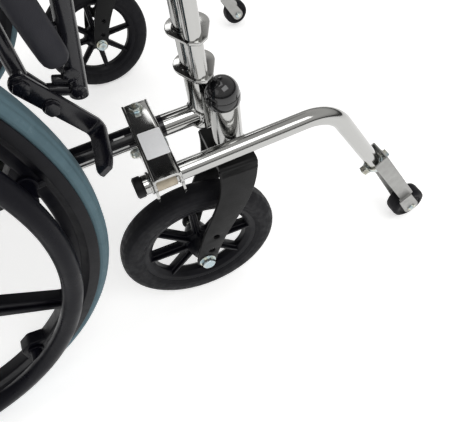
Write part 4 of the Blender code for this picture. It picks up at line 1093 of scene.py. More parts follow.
def caster():
    stem = right(STEM_X, STEM_Y, CROWN_TOP)
    axle = stem + Vector((-TRAIL, 0, CASTER_RADIUS - CROWN_TOP))
    holes = [[(axle.x + u, axle.z + v) for u, v in circle(0.0043, 24)]]
    for ahead, above in SPARE_HOLES:
        holes.append([(axle.x + ahead + u, axle.z + above + v) for u, v in circle(0.0040, 24)])
    shapes = []
    for low, high in ((-BLADE_OUTSIDE, -BLADE_INSIDE), (BLADE_INSIDE, BLADE_OUTSIDE)):
        shapes.append(plate(blade_outline(), low - STEM_Y, high - STEM_Y, "Y", holes, 0.0008))
    half, wall = BLADE_OUTSIDE, BLADE_OUTSIDE - BLADE_INSIDE
    foot, under = CROWN_TOP - 0.0135, CROWN_TOP - 0.0100
    bridge = [(-half, foot), (-half, CROWN_TOP), (half, CROWN_TOP), (half, foot)]
    bridge += [(half - wall, foot), (half - wall, under), (wall - half, under), (wall - half, foot)]
    radii = [0, 0.0045, 0.0045, 0, 0, 0.0020, 0.0020, 0]
    bridge = softened([(y - STEM_Y, z) for y, z in bridge], radii, 8)
    shapes.append(plate(bridge, STEM_X - 0.0225, STEM_X + 0.0185, "X", edge=0.0010))
    shapes.append(tube([stem - UP * 0.005, stem + UP * 0.044], 0.0060, 28))
    shapes = [turned(shape, stem, -CASTER_TOE, "Z") for shape in shapes]
    pair("fork", shapes, "caster_swivel", STEEL, ["caster_fork"])

    reach = Vector((0, BLADE_OUTSIDE + GAP, 0))
    shapes = bolted(axle - reach, axle + reach, 0.0040, 0.0086, 0.0058, washer=0.0010)
    for way in (-1, 1):
        start = axle + Vector((0, way * (CASTER_HUB + GAP), 0))
        shapes.append(tube([start, axle + Vector((0, way * (BLADE_INSIDE - GAP), 0))], 0.0080, 32))
    shapes = [turned(shape, stem, -CASTER_TOE, "Z") for shape in shapes]
    pair("caster_bolt", shapes, "caster_swivel", ZINC, ["caster_axle"])

    side = [(0.0742, 0.0106), (0.0762, 0.0120), (0.0800, 0.0142), (0.0850, 0.0150), (0.0905, 0.0150)]
    side += [(0.0955, 0.0138), (0.0990, 0.0108), (0.1010, 0.0068), (CASTER_RADIUS, 0.0020)]
    tyre = [(r, -y) for r, y in side] + [(r, y) for r, y in reversed(side)]
    shape = turned(lathe(softened(tyre, 0.003, 4), axle, steps=128), stem, -CASTER_TOE, "Z")
    pair("small_tyre", [shape], "caster_wheel", TYRE_BLACK, ["caster_tyre"])

    side = [(0.0634, 0.0046), (0.0690, 0.0098), (0.0745, 0.0112), (0.0756, 0.0100)]
    band = [(r, -y) for r, y in reversed(side)] + side
    shapes = [lathe(softened(band, 0.0014, 3), axle, steps=128)]
    first = 0.0
    window = spoke_window(pi / CASTER_SPOKES, 0.0235, 0.0636, 0.0052, 0.0042, 0.064, 0.0050, 0.0105)
    shapes.append(wheel_disc(axle, CASTER_SPOKES, first, 0.0042, 0.0011, window, 0.0650, 0.010))
    for low, high in ((-0.0082, -0.0040), (0.0040, 0.0082)):
        shapes += spoke_ribs(axle, CASTER_SPOKES, first, 0.014, 0.0672, 0.0019, low, high, 0.0005)
    barrel = [(0.0044, -CASTER_HUB), (0.0125, -CASTER_HUB), (0.0160, -0.0135), (0.0180, -0.0075),
              (0.0205, -0.0040)]
    barrel += [(0.0205, 0.0040), (0.0180, 0.0075), (0.0160, 0.0135), (0.0125, CASTER_HUB),
               (0.0044, CASTER_HUB)]
    shapes.append(lathe(barrel, axle, steps=64, soft=0.0012))
    shapes = [turned(shape, stem, -CASTER_TOE, "Z") for shape in shapes]
    pair("small_mag_wheel", shapes, "caster_wheel", RIM_PLASTIC, ["caster_rim"])


# The anti-tipper

TIPPER_WAY = Vector((cos(TIPPER_ANGLE), 0, -sin(TIPPER_ANGLE)))
TIPPER_AHEAD = Vector((sin(TIPPER_ANGLE), 0, cos(TIPPER_ANGLE)))
TIPPER_TURN = right(TIPPER_CORNER, TIPPER_Y, TIPPER_Z)


def tipper_axle():
    axle = TIPPER_TURN + TIPPER_WAY * TIPPER_WHEEL_REACH + TIPPER_AHEAD * LEG_AXLE
    return Vector((axle.x, -TIPPER_WHEEL_Y, axle.z))


def channel_flange(x):
    """A side of the bracket's channel, with an ear round each of the two tubes."""
    outline, radii = [(-0.212, CHANNEL_TOP - 0.001), (-0.212, 0.292)], [0.001, 0.003]
    for y, z, low in ((FRAME_Y, LOWER_Z, 0.2575), (TIPPER_Y, TIPPER_Z, 0.2500)):
        outline += [(-y + 0.0185, z + 0.004), (-y + 0.0175, z - 0.006), (-y + 0.0080, low),
                    (-y - 0.0080, low)]
        outline += [(-y - 0.0175, z - 0.006), (-y - 0.0185, z + 0.004)]
        radii += [0.004, 0.005, 0.004, 0.004, 0.005, 0.004]
    outline += [(-0.322, 0.290), (-0.322, CHANNEL_TOP - 0.001)]
    radii += [0.003, 0.001]
    holes = []
    for y, z, radius in ((FRAME_Y, LOWER_Z, TUBE + 0.0001), (TIPPER_Y, TIPPER_Z, TIPPER_TUBE + 0.0001)):
        holes.append([(u - y, v + z) for u, v in circle(radius, 48)])
    return plate(softened(outline, radii, 4), x, x + CHANNEL_WALL, "X", holes, 0.0005)


def bracket():
    rear, front = CHANNEL_REAR, CHANNEL_FRONT
    section = [(rear, 0.2925), (rear, CHANNEL_TOP), (front, CHANNEL_TOP), (front, 0.2925)]
    section += [(front - CHANNEL_WALL, 0.2925), (front - CHANNEL_WALL, CHANNEL_TOP - CHANNEL_WALL)]
    section += [(rear + CHANNEL_WALL, CHANNEL_TOP - CHANNEL_WALL), (rear + CHANNEL_WALL, 0.2925)]
    radii = [0, 0.0042, 0.0066, 0, 0, 0.0040, 0.0018, 0]
    shapes = [plate(softened(section, radii, 8), -0.322, -0.2165, "Y", edge=0.0005)]
    cheek = [(rear + 0.001, CHANNEL_TOP), (front - 0.001, CHANNEL_TOP), (front - 0.001, 0.2935),
             (rear + 0.001, 0.2935)]
    shapes.append(plate(softened(cheek, [0.004, 0.004, 0.003, 0.003], 5), -0.2190, -0.2125, "Y",
                        edge=0.0028))
    flared = turned(channel_flange(front - CHANNEL_WALL), (front, -FRAME_Y, CHANNEL_TOP - 0.006), -FLARE,
                    "Y")
    shapes += [channel_flange(rear), flared]
    toe = lambda shape: turned(shape, right(CHANNEL_REAR, 0.322, 0), -CHANNEL_TOE, "Z")
    pair("channel_bracket", [toe(s) for s in shapes], "frame", CHROME, ["anti_tip_bracket"])

    middle = (rear + front) / 2 - 0.001
    top = right(middle, 0.224, CHANNEL_TOP)
    nuts = [disc(top - UP * 0.0001, UP, 0.0072, 0.0007), hexagon(top + UP * 0.0006, UP, 0.0060, 0.0034)]
    clamp = LOWER_Z - 0.0220
    start, end = right(front, FRAME_Y, clamp), right(rear, FRAME_Y, clamp)
    nuts += bolted(start, end, 0.0030, 0.0056, 0.0040, washer=0.0006, acorn=True)
    pair("bracket_bolts", [toe(s) for s in nuts], "frame", ZINC)

    lining = box((rear + CHANNEL_WALL - 0.0002, -0.3212, CHANNEL_TOP - CHANNEL_WALL - 0.0004),
                 (front - CHANNEL_WALL + 0.0002, -0.222, CHANNEL_TOP - CHANNEL_WALL + 0.0001), 0.0001)
    saddle = pipe(right(rear + CHANNEL_WALL + 0.0004, TIPPER_Y, TIPPER_Z),
                  right(front - CHANNEL_WALL - 0.0004, TIPPER_Y, TIPPER_Z), TIPPER_TUBE + 0.0014,
                  TIPPER_TUBE + 0.0002)
    pair("bracket_lining", [toe(lining), saddle], "frame", RAW_STEEL)
    low = (rear + 0.0035, -0.2955, CHANNEL_TOP + 0.00002)
    high = (front - 0.0012, -0.2590, CHANNEL_TOP + 0.00018)
    label = softened([(low[0], low[1]), (high[0], low[1]), (high[0], high[1]), (low[0], high[1])], 0.0015,
                     4)
    pair("blank_label", [toe(plate(label, low[2], high[2], "Z", edge=0.00005))], "frame", STICKER)


def tipper_tube():
    end = TIPPER_TURN + TIPPER_WAY * TIPPER_TUBE_LENGTH
    rear = right(TIPPER_REAR, TIPPER_Y, TIPPER_Z)
    shapes = [tube(filleted([rear, TIPPER_TURN, end], TIPPER_BEND, 28), TIPPER_TUBE, 48)]
    for x in (CHANNEL_REAR - 0.0006, CHANNEL_FRONT + 0.0006):
        ring = [right(x, TIPPER_Y, TIPPER_Z) + Vector((0, u, v))
                for u, v in circle(TIPPER_TUBE + 0.0006, 64)]
        scales = [1 + 0.18 * sin(k * 1.7) for k in range(64)]
        shapes.append(sweep(ring, circle(0.0013, 8), closed=True, scales=scales))
    pair("tipper_tube", shapes, "frame", CHROME, ["anti_tip_tube"])
    profile = [(0, -0.0085), (0.0085, -0.0085), (0.0105, -0.0070), (0.0105, -0.0005), (0.0098, 0.0000),
               (0, 0.0000)]
    pair("tipper_cap", [lathe(profile, rear, "X", 48, 0.0006)], "frame", PLASTIC, ["anti_tip_cap"])

    place = end - TIPPER_WAY * CLAMP_BACK
    shapes = [pipe(place - TIPPER_WAY * 0.0045, place + TIPPER_WAY * 0.0040, COLLAR, TIPPER_TUBE + GAP,
                   48)]
    ahead = TIPPER_AHEAD
    shapes.append(tube([place + ahead * 0.0105, place + ahead * (LEG_FRONT - LEG_WALL - GAP)], 0.0030,
                       20))
    shapes.append(disc(place + ahead * (LEG_FRONT + GAP), ahead, 0.0068, 0.0006))
    shapes.append(hexagon(place + ahead * (LEG_FRONT + 0.0008), ahead, 0.0055, 0.0034))
    shapes.append(disc(place - ahead * 0.0112, -ahead, 0.0070, 0.0012))
    shapes.append(hexagon(place - ahead * 0.0124, -ahead, 0.0068, 0.0062))
    shapes.append(tube([place - ahead * 0.016, place - ahead * 0.0195], 0.0029, 20))
    pair("tipper_clamp", shapes, "frame", ZINC, ["anti_tip_clamp"])


def tipper_leg():
    axle = tipper_axle()

    def laid(shape):
        """From (along the leg, ahead of it, across) to its place on the chair."""
        turn = Matrix((TIPPER_WAY, TIPPER_AHEAD, LEFT)).transposed().to_4x4()
        shape.transform(Matrix.Translation(TIPPER_TURN) @ turn)
        return shape

    inside, outside = COLLAR + 2 * GAP, COLLAR + 2 * GAP + LEG_WALL
    near = inside + 0.0048
    top, foot, reach = TIPPER_TUBE_LENGTH - 0.022, 0.252, TIPPER_WHEEL_REACH
    web = [(top, -outside), (foot, -outside), (foot, outside), (top, outside)]
    shape = plate(softened(web, 0.0014, 4), LEG_FRONT - LEG_WALL, LEG_FRONT, "Y", edge=0.0005)
    shapes = [laid(shape)]
    straight = [(top, LEG_FRONT - 0.0195), (top, LEG_FRONT), (foot + 0.003, LEG_FRONT),
                (foot + 0.003, -0.004)]
    round_foot = arc((reach, LEG_AXLE), 0.0110, -pi / 2, pi / 2, 24)
    hole = [(reach + u, LEG_AXLE + v) for u, v in circle(0.0034, 24)]
    long_cheek = softened([straight[0], straight[1], (foot + 0.003, LEG_FRONT), (foot + 0.014, 0.0120)],
                          [0.003, 0.001, 0.012, 0.004], 6) + round_foot[::-1]
    short_cheek = [(foot - 0.004, -0.0085), (foot - 0.004, 0.0115)] + round_foot[::-1]
    shapes.append(laid(plate(long_cheek, inside, outside, "Z", [hole], 0.0005)))
    shapes.append(laid(plate(softened(straight, [0.003, 0.001, 0.003, 0.003], 4), -outside, -inside, "Z",
                             edge=0.0005)))
    shapes.append(laid(plate(short_cheek, -near - LEG_WALL, -near, "Z", [hole], 0.0005)))
    joggle = [(foot - 0.0025, -0.0060), (foot - 0.0025, 0.0112), (foot + 0.0015, 0.0112),
              (foot + 0.0015, -0.0060)]
    shapes.append(laid(plate(softened(joggle, 0.001), -near - LEG_WALL * 0.8, -inside - 0.0003, "Z",
                             edge=0.0006)))
    pair("tipper_leg", shapes, "anti_tip_slide", SILVER, ["anti_tip_leg"])

    outer = Vector((axle.x, -TIPPER_Y - near - LEG_WALL - 0.0001, axle.z))
    inner = Vector((axle.x, -TIPPER_Y + outside + 0.0001, axle.z))
    bolt = [tube([outer - LEFT * 0.0035, inner + LEFT * 0.0035], 0.0030, 20)]
    bolt += [domed(outer, LEFT * -1, 0.0060, 0.0032), domed(inner, LEFT, 0.0060, 0.0032)]
    pair("tipper_axle", bolt, "anti_tip_slide", ZINC, ["anti_tip_axle"])

    profile = [(0.0034, -0.0120), (0.0075, -0.0120), (0.0085, -0.0100), (0.0165, -0.0100),
               (0.0175, -0.0118), (0.0205, -0.0118)]
    profile += [(0.0236, -0.0098), (TIPPER_WHEEL, -0.0060), (TIPPER_WHEEL, 0.0060), (0.0236, 0.0098),
                (0.0205, 0.0118)]
    profile += [(0.0175, 0.0118), (0.0165, 0.0100), (0.0085, 0.0100), (0.0075, 0.0120), (0.0034, 0.0120)]
    pair("tipper_roller", [lathe(profile, axle, steps=72, soft=0.0008)], "anti_tip_roller", TYRE_BLACK,
         ["anti_tip_wheel"])


# The wheel lock


def lock():
    x, y = LEVER_PIVOT.x + 0.0065, -0.2475
    inner = y - 0.0015
    shapes = [pipe((0.283, -FRAME_Y, RAIL_Z), (0.357, -FRAME_Y, RAIL_Z), TUBE + 0.0042, TUBE + 0.0001,
                   48)]
    shapes.append(tube([(x - 0.001, y, 0.357), (x + 0.020, y, 0.462)], 0.0082, 32))
    shapes.append(tube([(LOCK_PIVOT.x, inner, 0.460), (LOCK_PIVOT.x, inner, LOCK_PIVOT.z - 0.006)],
                       0.0066, 32))
    shapes.append(tube([(LOCK_LINK.x, y, LOCK_LINK.z - 0.001), (x, y, 0.3635)], 0.0055, 24))
    shapes.append(tube([(LOCK_PIVOT.x, inner, LOCK_PIVOT.z - 0.002),
                        (LOCK_LINK.x, y, LOCK_LINK.z - 0.001)], 0.0045, 24))
    shapes.append(tube([(x - 0.002, y, 0.3740), (x - 0.016, y, 0.3790)], 0.0040, 24))
    shapes.append(tube([LOCK_PIVOT + LEFT * 0.020, LOCK_PIVOT - LEFT * 0.0030], 0.0040, 24))
    shapes.append(tube([(LEVER_PIVOT.x, y, LEVER_PIVOT.z), LEVER_PIVOT - LEFT * 0.0040], 0.0040, 24))
    low = (LEVER_PIVOT.x - 0.004, y - 0.0040, LEVER_PIVOT.z - 0.006)
    shapes.append(box(low, (x + 0.010, y + 0.0040, LEVER_PIVOT.z + 0.006), 0.0012))
    pair("lock_hanger", shapes, "frame", ENAMEL, ["lock_mount"])
    heads = []
    for height in (0.3655, 0.3820):
        heads.append(disc((x, y - 0.0040, height), LEFT * -1, 0.0076, 0.0008))
        heads.append(hexagon((x, y - 0.0046, height), LEFT * -1, 0.0068, 0.0042))
    heads.append(disc(LOCK_PIVOT - LEFT * 0.0026, LEFT * -1, 0.0078, 0.0007))
    heads.append(hexagon(LOCK_PIVOT - LEFT * 0.0032, LEFT * -1, 0.0068, 0.0036))
    for bolt_x in (0.296, 0.346):
        heads.append(hexagon((bolt_x, -FRAME_Y - 0.0148, RAIL_Z), LEFT * -1, 0.0056, 0.0036))
    pair("lock_bolts", heads, "frame", ENAMEL)

    way = (LOCK_ELBOW - LOCK_PIVOT).normalized()
    up = Vector((-way.z, 0, way.x))
    tip = LOCK_ELBOW + Vector((-0.0065, -0.047, -0.006))
    half, thick = 0.0085, 0.0050
    path = [LOCK_PIVOT - way * 0.0085, LOCK_PIVOT, LOCK_ELBOW + way * 0.0012, tip]
    path = rounded_corner(path[1], path[2], path[3], 0.0075, 12)
    path = [LOCK_PIVOT - way * (0.0085 - 0.0085 * i / 8) for i in range(8)] + [LOCK_PIVOT] + path
    last = path[-1]
    path += [last.lerp(tip, i / 10) for i in range(1, 11)]
    rings = []
    total = len(path) - 1
    for i, place in enumerate(path):
        before, after = path[max(i - 1, 0)], path[min(i + 1, total)]
        tangent = (after - before).normalized()
        flat = tangent.cross(up).normalized()
        reach = 1.0
        behind = (place - LOCK_PIVOT).dot(way)
        if behind < 0:
            reach = sqrt(max(0.02, 1 - (behind / -0.0086) ** 2))
        ahead = (tip - place).length
        if ahead < 0.006:
            reach = 0.68 + 0.32 * ahead / 0.006
        ring = softened([(-thick / 2, -half * reach), (thick / 2, -half * reach),
                         (thick / 2, half * reach),
                         (-thick / 2, half * reach)], 0.0011, 3)
        rings.append([place + flat * u + up * v for u, v in ring])
    shapes = [skin(rings)]
    pair("lock_bar", shapes, "lock_bar", ENAMEL, ["lock_shoe"])
    bolt = [disc(LOCK_LINK - LEFT * 0.0026, LEFT * -1, 0.0074, 0.0008)]
    bolt.append(hexagon(LOCK_LINK - LEFT * 0.0032, LEFT * -1, 0.0064, 0.0042))
    bolt.append(tube([LOCK_LINK - LEFT * 0.006, LOCK_LINK + LEFT * 0.0085], 0.0036, 20))
    bolt.append(hexagon(LOCK_LINK + LEFT * 0.0028, LEFT, 0.0062, 0.0045))
    pair("lock_bar_bolt", bolt, "lock_bar", ENAMEL)

    profile = [(-0.0140, 0.30), (-0.0135, 0.55), (-0.0120, 0.78), (-0.0090, 0.94), (-0.0040, 1.0),
               (0.0100, 1.02)]
    profile += [(0.050, 1.0), (0.085, 0.90), (0.105, 0.88), (0.125, 0.98), (0.150, 1.04), (0.170, 1.0),
                (0.180, 0.90)]
    profile += [(0.186, 0.68), (0.188, 0.40)]
    rings = []
    fine = []
    for (low, first), (high, second) in zip(profile, profile[1:]):
        fine += [(low + (high - low) * i / 4, first + (second - first) * i / 4) for i in range(4)]
    fine.append(profile[-1])
    for height, scale in fine:
        ring = []
        for k in range(32):
            angle = 2 * pi * k / 32
            groove = 0.0
            if 0.118 < height < 0.172:
                groove = 0.0006 * max(0, cos(angle)) * (1 + cos(2 * pi * height / 0.0105))
            u, v = 0.0112 * scale * cos(angle), 0.0090 * scale * sin(angle)
            ring.append(LEVER_PIVOT + Vector((u - groove, v, height)))
        rings.append(ring)
    lever = turned(skin(rings), LEVER_PIVOT, -radians(8), "Y")
    pair("lock_lever_grip", [lever], "lock_handle", RUBBER, ["lock_lever"])


# The arm rest


def stadium(start, end, half, grow=0.0, steps=20):
    """A long rounded outline in the level plane, grown outwards by a little."""
    outline = arc((end, -PAD_Y), half + grow, -pi / 2, pi / 2, steps)
    return outline + arc((start, -PAD_Y), half + grow, pi / 2, 3 * pi / 2, steps)


def arm_rest():
    foot = 0.4845
    corners = [right(REAR_POST_X, FRAME_Y, foot), right(REAR_POST_X, FRAME_Y, ARM_Z)]
    corners += [right(FRONT_POST_X, FRAME_Y, ARM_Z), right(FRONT_POST_X, FRAME_Y, foot)]
    pair("arm_tube", [tube(filleted(corners, 0.035, 16), POST)], "arm_rest", CHROME, ["arm_frame"])

    left, far = REAR_POST_X + POST + GAP, FRONT_POST_X - POST - GAP
    top = ARM_Z - POST - GAP
    outline = [(left, 0.524), (left, top), (far, top), (far, 0.524)]
    radii = [0.016, 0.030, 0.030, 0.016]
    shapes = [plate(softened(outline, radii, 8), -FRAME_Y - 0.0018, -FRAME_Y + 0.0018, edge=0.0008)]
    inset = 0.014
    border = [(left + inset, 0.524 + inset), (left + inset, top - inset), (far - inset, top - inset),
              (far - inset, 0.524 + inset)]
    loop = softened(border, [r * 0.7 for r in radii], 8)
    for face in (-0.0016, 0.0016):
        path = [Vector((u, -FRAME_Y + face, v)) for u, v in loop]
        shapes.append(sweep(path, circle(0.0011, 8), closed=True))
    pair("skirt_guard", shapes, "arm_rest", PLASTIC, ["side_panel"])
    clips = []
    for height in (0.560, 0.655):
        for post, way in ((REAR_POST_X, 1), (FRONT_POST_X, -1)):
            clips.append(pipe(right(post, FRAME_Y, height - 0.007), right(post, FRAME_Y, height + 0.007),
                              POST + 0.0016, POST, 32))
            clips.append(domed(right(post + way * 0.016, FRAME_Y + 0.0018, height), LEFT * -1, 0.0036,
                               0.0018))
            clips.append(domed(right(post + way * 0.016, FRAME_Y - 0.0018, height), LEFT, 0.0036, 0.0018))
    pair("skirt_clips", clips, "arm_rest", PLASTIC)

    low = ARM_Z + POST + GAP
    start, end, half = PAD_START, PAD_END, 0.0235
    base = plate(stadium(start, end, half, -0.0035), low, low + 0.0035, "Z", edge=0.0008)
    pair("arm_pad_base", [base], "arm_rest", PLASTIC)
    rings = []
    profile = [(0.0020, -0.0060), (0.0028, -0.0022), (0.0048, -0.0003), (0.0075, 0.0), (0.0130, -0.0004),
               (0.0180, -0.0022)]
    profile += [(0.0215, -0.0052), (0.0240, -0.0095), (0.0252, -0.0145), (0.0258, -0.0195)]
    for lift, grow in profile:
        rings.append([Vector((*p, low - GAP + lift)) for p in stadium(start, end, half, grow)])
    pad = pair("arm_cushion", [skin(rings)], "arm_rest", VINYL, ["arm_pad"])
    ring = [Vector((*p, low + 0.0030)) for p in stadium(start, end, half, -0.0008, 48)]
    pair("arm_cushion_piping", [sweep(ring, circle(0.0011, 8), closed=True)], "arm_rest", VINYL)
    screws = []
    for x in (start + 0.02, end - 0.02):
        screws.append(tube([right(x, FRAME_Y, ARM_Z - POST - 0.003), right(x, FRAME_Y, low + 0.001)],
                           0.0026, 16))
        screws.append(domed(right(x, FRAME_Y, ARM_Z - POST + 0.0003), DOWN, 0.0050, 0.0028))
    pair("arm_cushion_screws", screws, "arm_rest", ZINC)




# The folding seat frame


def brace(name, stands_for, x, bottom_side, body):
    """A diagonal tube between its bottom sleeve on one side and a seat rail on the other."""
    bottom = Vector((x, bottom_side * SEAT_RAIL_Y, LOWER_Z))
    top = Vector((x, -bottom_side * SEAT_RAIL_Y, SEAT_RAIL_Z))
    shapes = [tube([bottom, top], BRACE_TUBE, 40)]
    start, end = Vector((BRACE_X - 0.0455, bottom.y, LOWER_Z)), Vector((BRACE_X + 0.0455, bottom.y,
                                                                        LOWER_Z))
    shapes.append(pipe(start, end, 0.0100, BRACE_PIN + 0.0003, 32))
    shapes.append(tube([(0.035, top.y, SEAT_RAIL_Z), (0.425, top.y, SEAT_RAIL_Z)], TUBE, 40))
    way = (top - bottom).normalized()
    shapes.append(weld(bottom, way, BRACE_TUBE, FORWARD, 0.0100, 0.0018))
    shapes.append(weld(top, -way, BRACE_TUBE, FORWARD, TUBE, 0.0018))
    single(name, shapes, body, STEEL, [stands_for])
    plugs = [domed((0.0352, top.y, SEAT_RAIL_Z), (-1, 0, 0), TUBE * 0.98, 0.0035)]
    plugs.append(domed((0.4248, top.y, SEAT_RAIL_Z), FORWARD, TUBE * 0.98, 0.0035))
    single(f"{name}_rail_plugs", plugs, body, PLASTIC)


def folding_frame():
    brace("brace_tube_front", "cross_brace_front", BRACE_X + BRACE_HALF_SPACING, -1, "brace_front")
    brace("brace_tube_rear", "cross_brace_rear", BRACE_X - BRACE_HALF_SPACING, 1, "brace_rear")
    middle = Vector((BRACE_X, 0, (LOWER_Z + SEAT_RAIL_Z) / 2))
    reach = Vector((BRACE_HALF_SPACING + BRACE_TUBE + GAP, 0, 0))
    bolt = bolted(middle - reach, middle + reach, 0.0040, 0.0085, 0.0055, washer=0.0010)
    single("brace_middle_bolt", bolt, "brace_front", ZINC, ["brace_pivot_bolt"])


# Upholstery


def sling(rows, thickness):
    """A sheet with a thickness, through rows of points, closed all round."""
    bm = bmesh.new()
    count = len(rows[0])
    grid = [[bm.verts.new(p) for p in row] for row in rows]
    for first, second in zip(grid, grid[1:]):
        for i in range(count - 1):
            bm.faces.new((first[i], first[i + 1], second[i + 1], second[i]))
    bmesh.ops.recalc_face_normals(bm, faces=bm.faces)
    bmesh.ops.solidify(bm, geom=bm.faces[:], thickness=thickness)
    return mesh_of(bm)


def stitch_run(path, length=0.0032, gap=0.0014, radius=0.00035):
    """Short stitches that lie along a path."""
    shapes = []
    points = [Vector(p) for p in path]
    travelled = 0.0
    spans = [(b - a).length for a, b in zip(points, points[1:])]
    total = sum(spans)

    def at(distance):
        for a, b, span in zip(points, points[1:], spans):
            if distance <= span:
                return a.lerp(b, distance / span)
            distance -= span
        return points[-1]

    while travelled + length < total:
        start, end = at(travelled), at(travelled + length)
        shapes.append(sweep([start, start.lerp(end, 0.5), end], circle(radius, 6)))
        travelled += length + gap
    return shapes


def seat_height(x, y):
    """The seat's upper face: taut over the rails, sagging a little between them, with soft pulls."""
    top = SEAT_RAIL_Z + TUBE + 0.0058
    across = min(1, abs(y) / SEAT_RAIL_Y)
    sag = 0.0052 * (1 - across**2.4)
    pulls = 0.0011 * noise.noise(Vector((x * 9, y * 26, 0.3))) * (1 - across**6)
    ripple = 0.0008 * noise.noise(Vector((x * 40, y * 9, 4.1))) * exp(-((1 - across) * 6) ** 2)
    return top - sag + pulls + ripple


def seat():
    rows = []
    for x in spread(SEAT_REAR, SEAT_FRONT, 60):
        row = []
        for angle in range(80, -1, -20):
            t = radians(angle)
            lift = SEAT_RAIL_Z + SEAT_WRAP * cos(t) + 0.0028
            row.append(Vector((x, -SEAT_RAIL_Y - SEAT_WRAP * sin(t), lift)))
        for y in spread(-SEAT_RAIL_Y, SEAT_RAIL_Y, 80)[1:-1]:
            row.append(Vector((x, y, seat_height(x, y))))
        for angle in range(0, 81, 20):
            t = radians(angle)
            lift = SEAT_RAIL_Z + SEAT_WRAP * cos(t) + 0.0028
            row.append(Vector((x, SEAT_RAIL_Y + SEAT_WRAP * sin(t), lift)))
        rows.append(row)
    cloth = single("seat_sling", [sling(rows, -0.0026)], None, SEAT_CLOTH, ["seat_upholstery"], sharp=60)
    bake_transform(cloth)
    hems = []
    for x in (SEAT_REAR + 0.004, SEAT_REAR + 0.024, SEAT_FRONT - 0.024, SEAT_FRONT - 0.004):
        ends = SEAT_RAIL_Y - 0.004
        hems += stitch_run([Vector((x, y, seat_height(x, y) + 0.0001)) for y in spread(-ends, ends, 60)])
    for side in (-1, 1):
        for inset in (0.018, 0.026):
            y = side * (SEAT_RAIL_Y - inset)
            along = spread(SEAT_REAR + 0.006, SEAT_FRONT - 0.006, 40)
            hems += stitch_run([Vector((x, y, seat_height(x, y) + 0.0001)) for x in along])
    thread = single("seat_stitching", hems, None, THREAD, sharp=60)
    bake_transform(thread)
    for side, body in ((-1, "brace_rear"), (1, "brace_front")):
        screws = []
        for i in range(5):
            x = SEAT_REAR + 0.030 + i * (SEAT_FRONT - SEAT_REAR - 0.060) / 4
            place = Vector((x, side * (SEAT_RAIL_Y - 0.001), SEAT_RAIL_Z + TUBE + 0.0050))
            screws += [disc(place, UP, 0.0075, 0.0007), domed(place + UP * 0.0006, UP, 0.0045, 0.0018)]
        single(f"seat_screws_{'right' if side < 0 else 'left'}", screws, body, ZINC)


def back_depth(y, z):
    """How far behind the canes' middle plane the back lies: a shallow belly, with soft pulls."""
    across = min(1, abs(y) / (FRAME_Y - TUBE))
    belly = 0.0068 * (1 - across**2)
    pulls = 0.0012 * noise.noise(Vector((y * 22, z * 8, 7.7))) * (1 - across**6)
    return -belly + pulls + 0.0008


def back():
    edge = FRAME_Y - TUBE - 0.0012

    def on_cloth(y, z, proud):
        return Vector((back_depth(y, z) + proud, y, z))

    rows = []
    for z in spread(BACK_LOW, BACK_HIGH, 60):
        rows.append([on_cloth(y, z, 0.0013) for y in spread(-edge, edge, 90)])
    cloth = single("back_sling", [sling(rows, 0.0026)], "frame_right", BACK_CLOTH,
                   ["back_upholstery"], sharp=60)
    paths = []
    for z in (BACK_LOW + 0.004, BACK_LOW + 0.028, BACK_HIGH - 0.034, BACK_HIGH - 0.004):
        paths.append([on_cloth(y, z, 0.0016) for y in spread(0.004 - edge, edge - 0.004, 60)])
    for side in (-1, 1):
        for inset in (0.010, 0.016):
            y = side * (edge - inset)
            paths.append([on_cloth(y, z, 0.0016)
                          for z in spread(BACK_LOW + 0.006, BACK_HIGH - 0.006, 40)])
    seams = []
    for path in paths:
        seams += stitch_run(path)
        seams += stitch_run([p - FORWARD * 0.0032 for p in path])
    thread = single("back_stitching", seams, "frame_right", THREAD, sharp=60)
    for one in (cloth, thread):
        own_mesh(one)
    rings = []
    for z in spread(BACK_LOW + 0.002, BACK_HIGH - 0.002, 60):
        ring = []
        for k in range(40):
            angle = 2 * pi * k / 40
            wrinkle = 0.0005 * noise.noise(Vector((cos(angle) * 3, sin(angle) * 3, z * 60)))
            radius = TUBE + 0.0016 + wrinkle
            ring.append(Vector((radius * cos(angle), -FRAME_Y + radius * sin(angle), z)))
        rings.append(ring)
    pair("back_sleeve", [skin(rings)], "frame", BACK_CLOTH, sharp=60)


# The studio


def floor():
    mesh = bpy.data.meshes.new("floor")
    bm = bmesh.new()
    bmesh.ops.create_grid(bm, x_segments=8, y_segments=8, size=6)
    bm.to_mesh(mesh)
    bm.free()
    made = bpy.data.objects.new("floor", mesh)
    bpy.context.scene.collection.objects.link(made)
    made.location.z = -0.0004
    paint = Finish("pale_floor", None, (0.93, 0.93, 0.93), 0.70)
    paint.feed("Base Color", paint.mixed(paint.noise(3, 4), (0.92, 0.92, 0.92), (0.95, 0.95, 0.95)))
    paint.bumps((paint.noise(300, 3), 0.00005))
    paint.shader.inputs["Emission Color"].default_value = (1, 1, 1, 1)
    paint.shader.inputs["Emission Strength"].default_value = FLOOR_GLOW
    mesh.materials.append(paint.material)


def area_light(name, place, target, size, power, colour=(1, 1, 1)):
    data = bpy.data.lights.new(name, "AREA")
    data.shape = "RECTANGLE"
    data.size, data.size_y = size
    data.energy = power
    data.color = colour
    made = bpy.data.objects.new(name, data)
    bpy.context.scene.collection.objects.link(made)
    made.location = ORIGIN + Vector(place)
    made.rotation_euler = (Vector(target) - Vector(place)).to_track_quat("-Z", "Y").to_euler()
    return made


def shade(ramp, stops):
    """Sets a ramp's stops to greys that are very slightly warm."""
    elements = ramp.elements
    while len(elements) < len(stops):
        elements.new(0.5)
    for element, (position, value) in zip(elements, stops):
        element.position = position
        element.color = (value, value * 0.995, value * 0.985, 1)


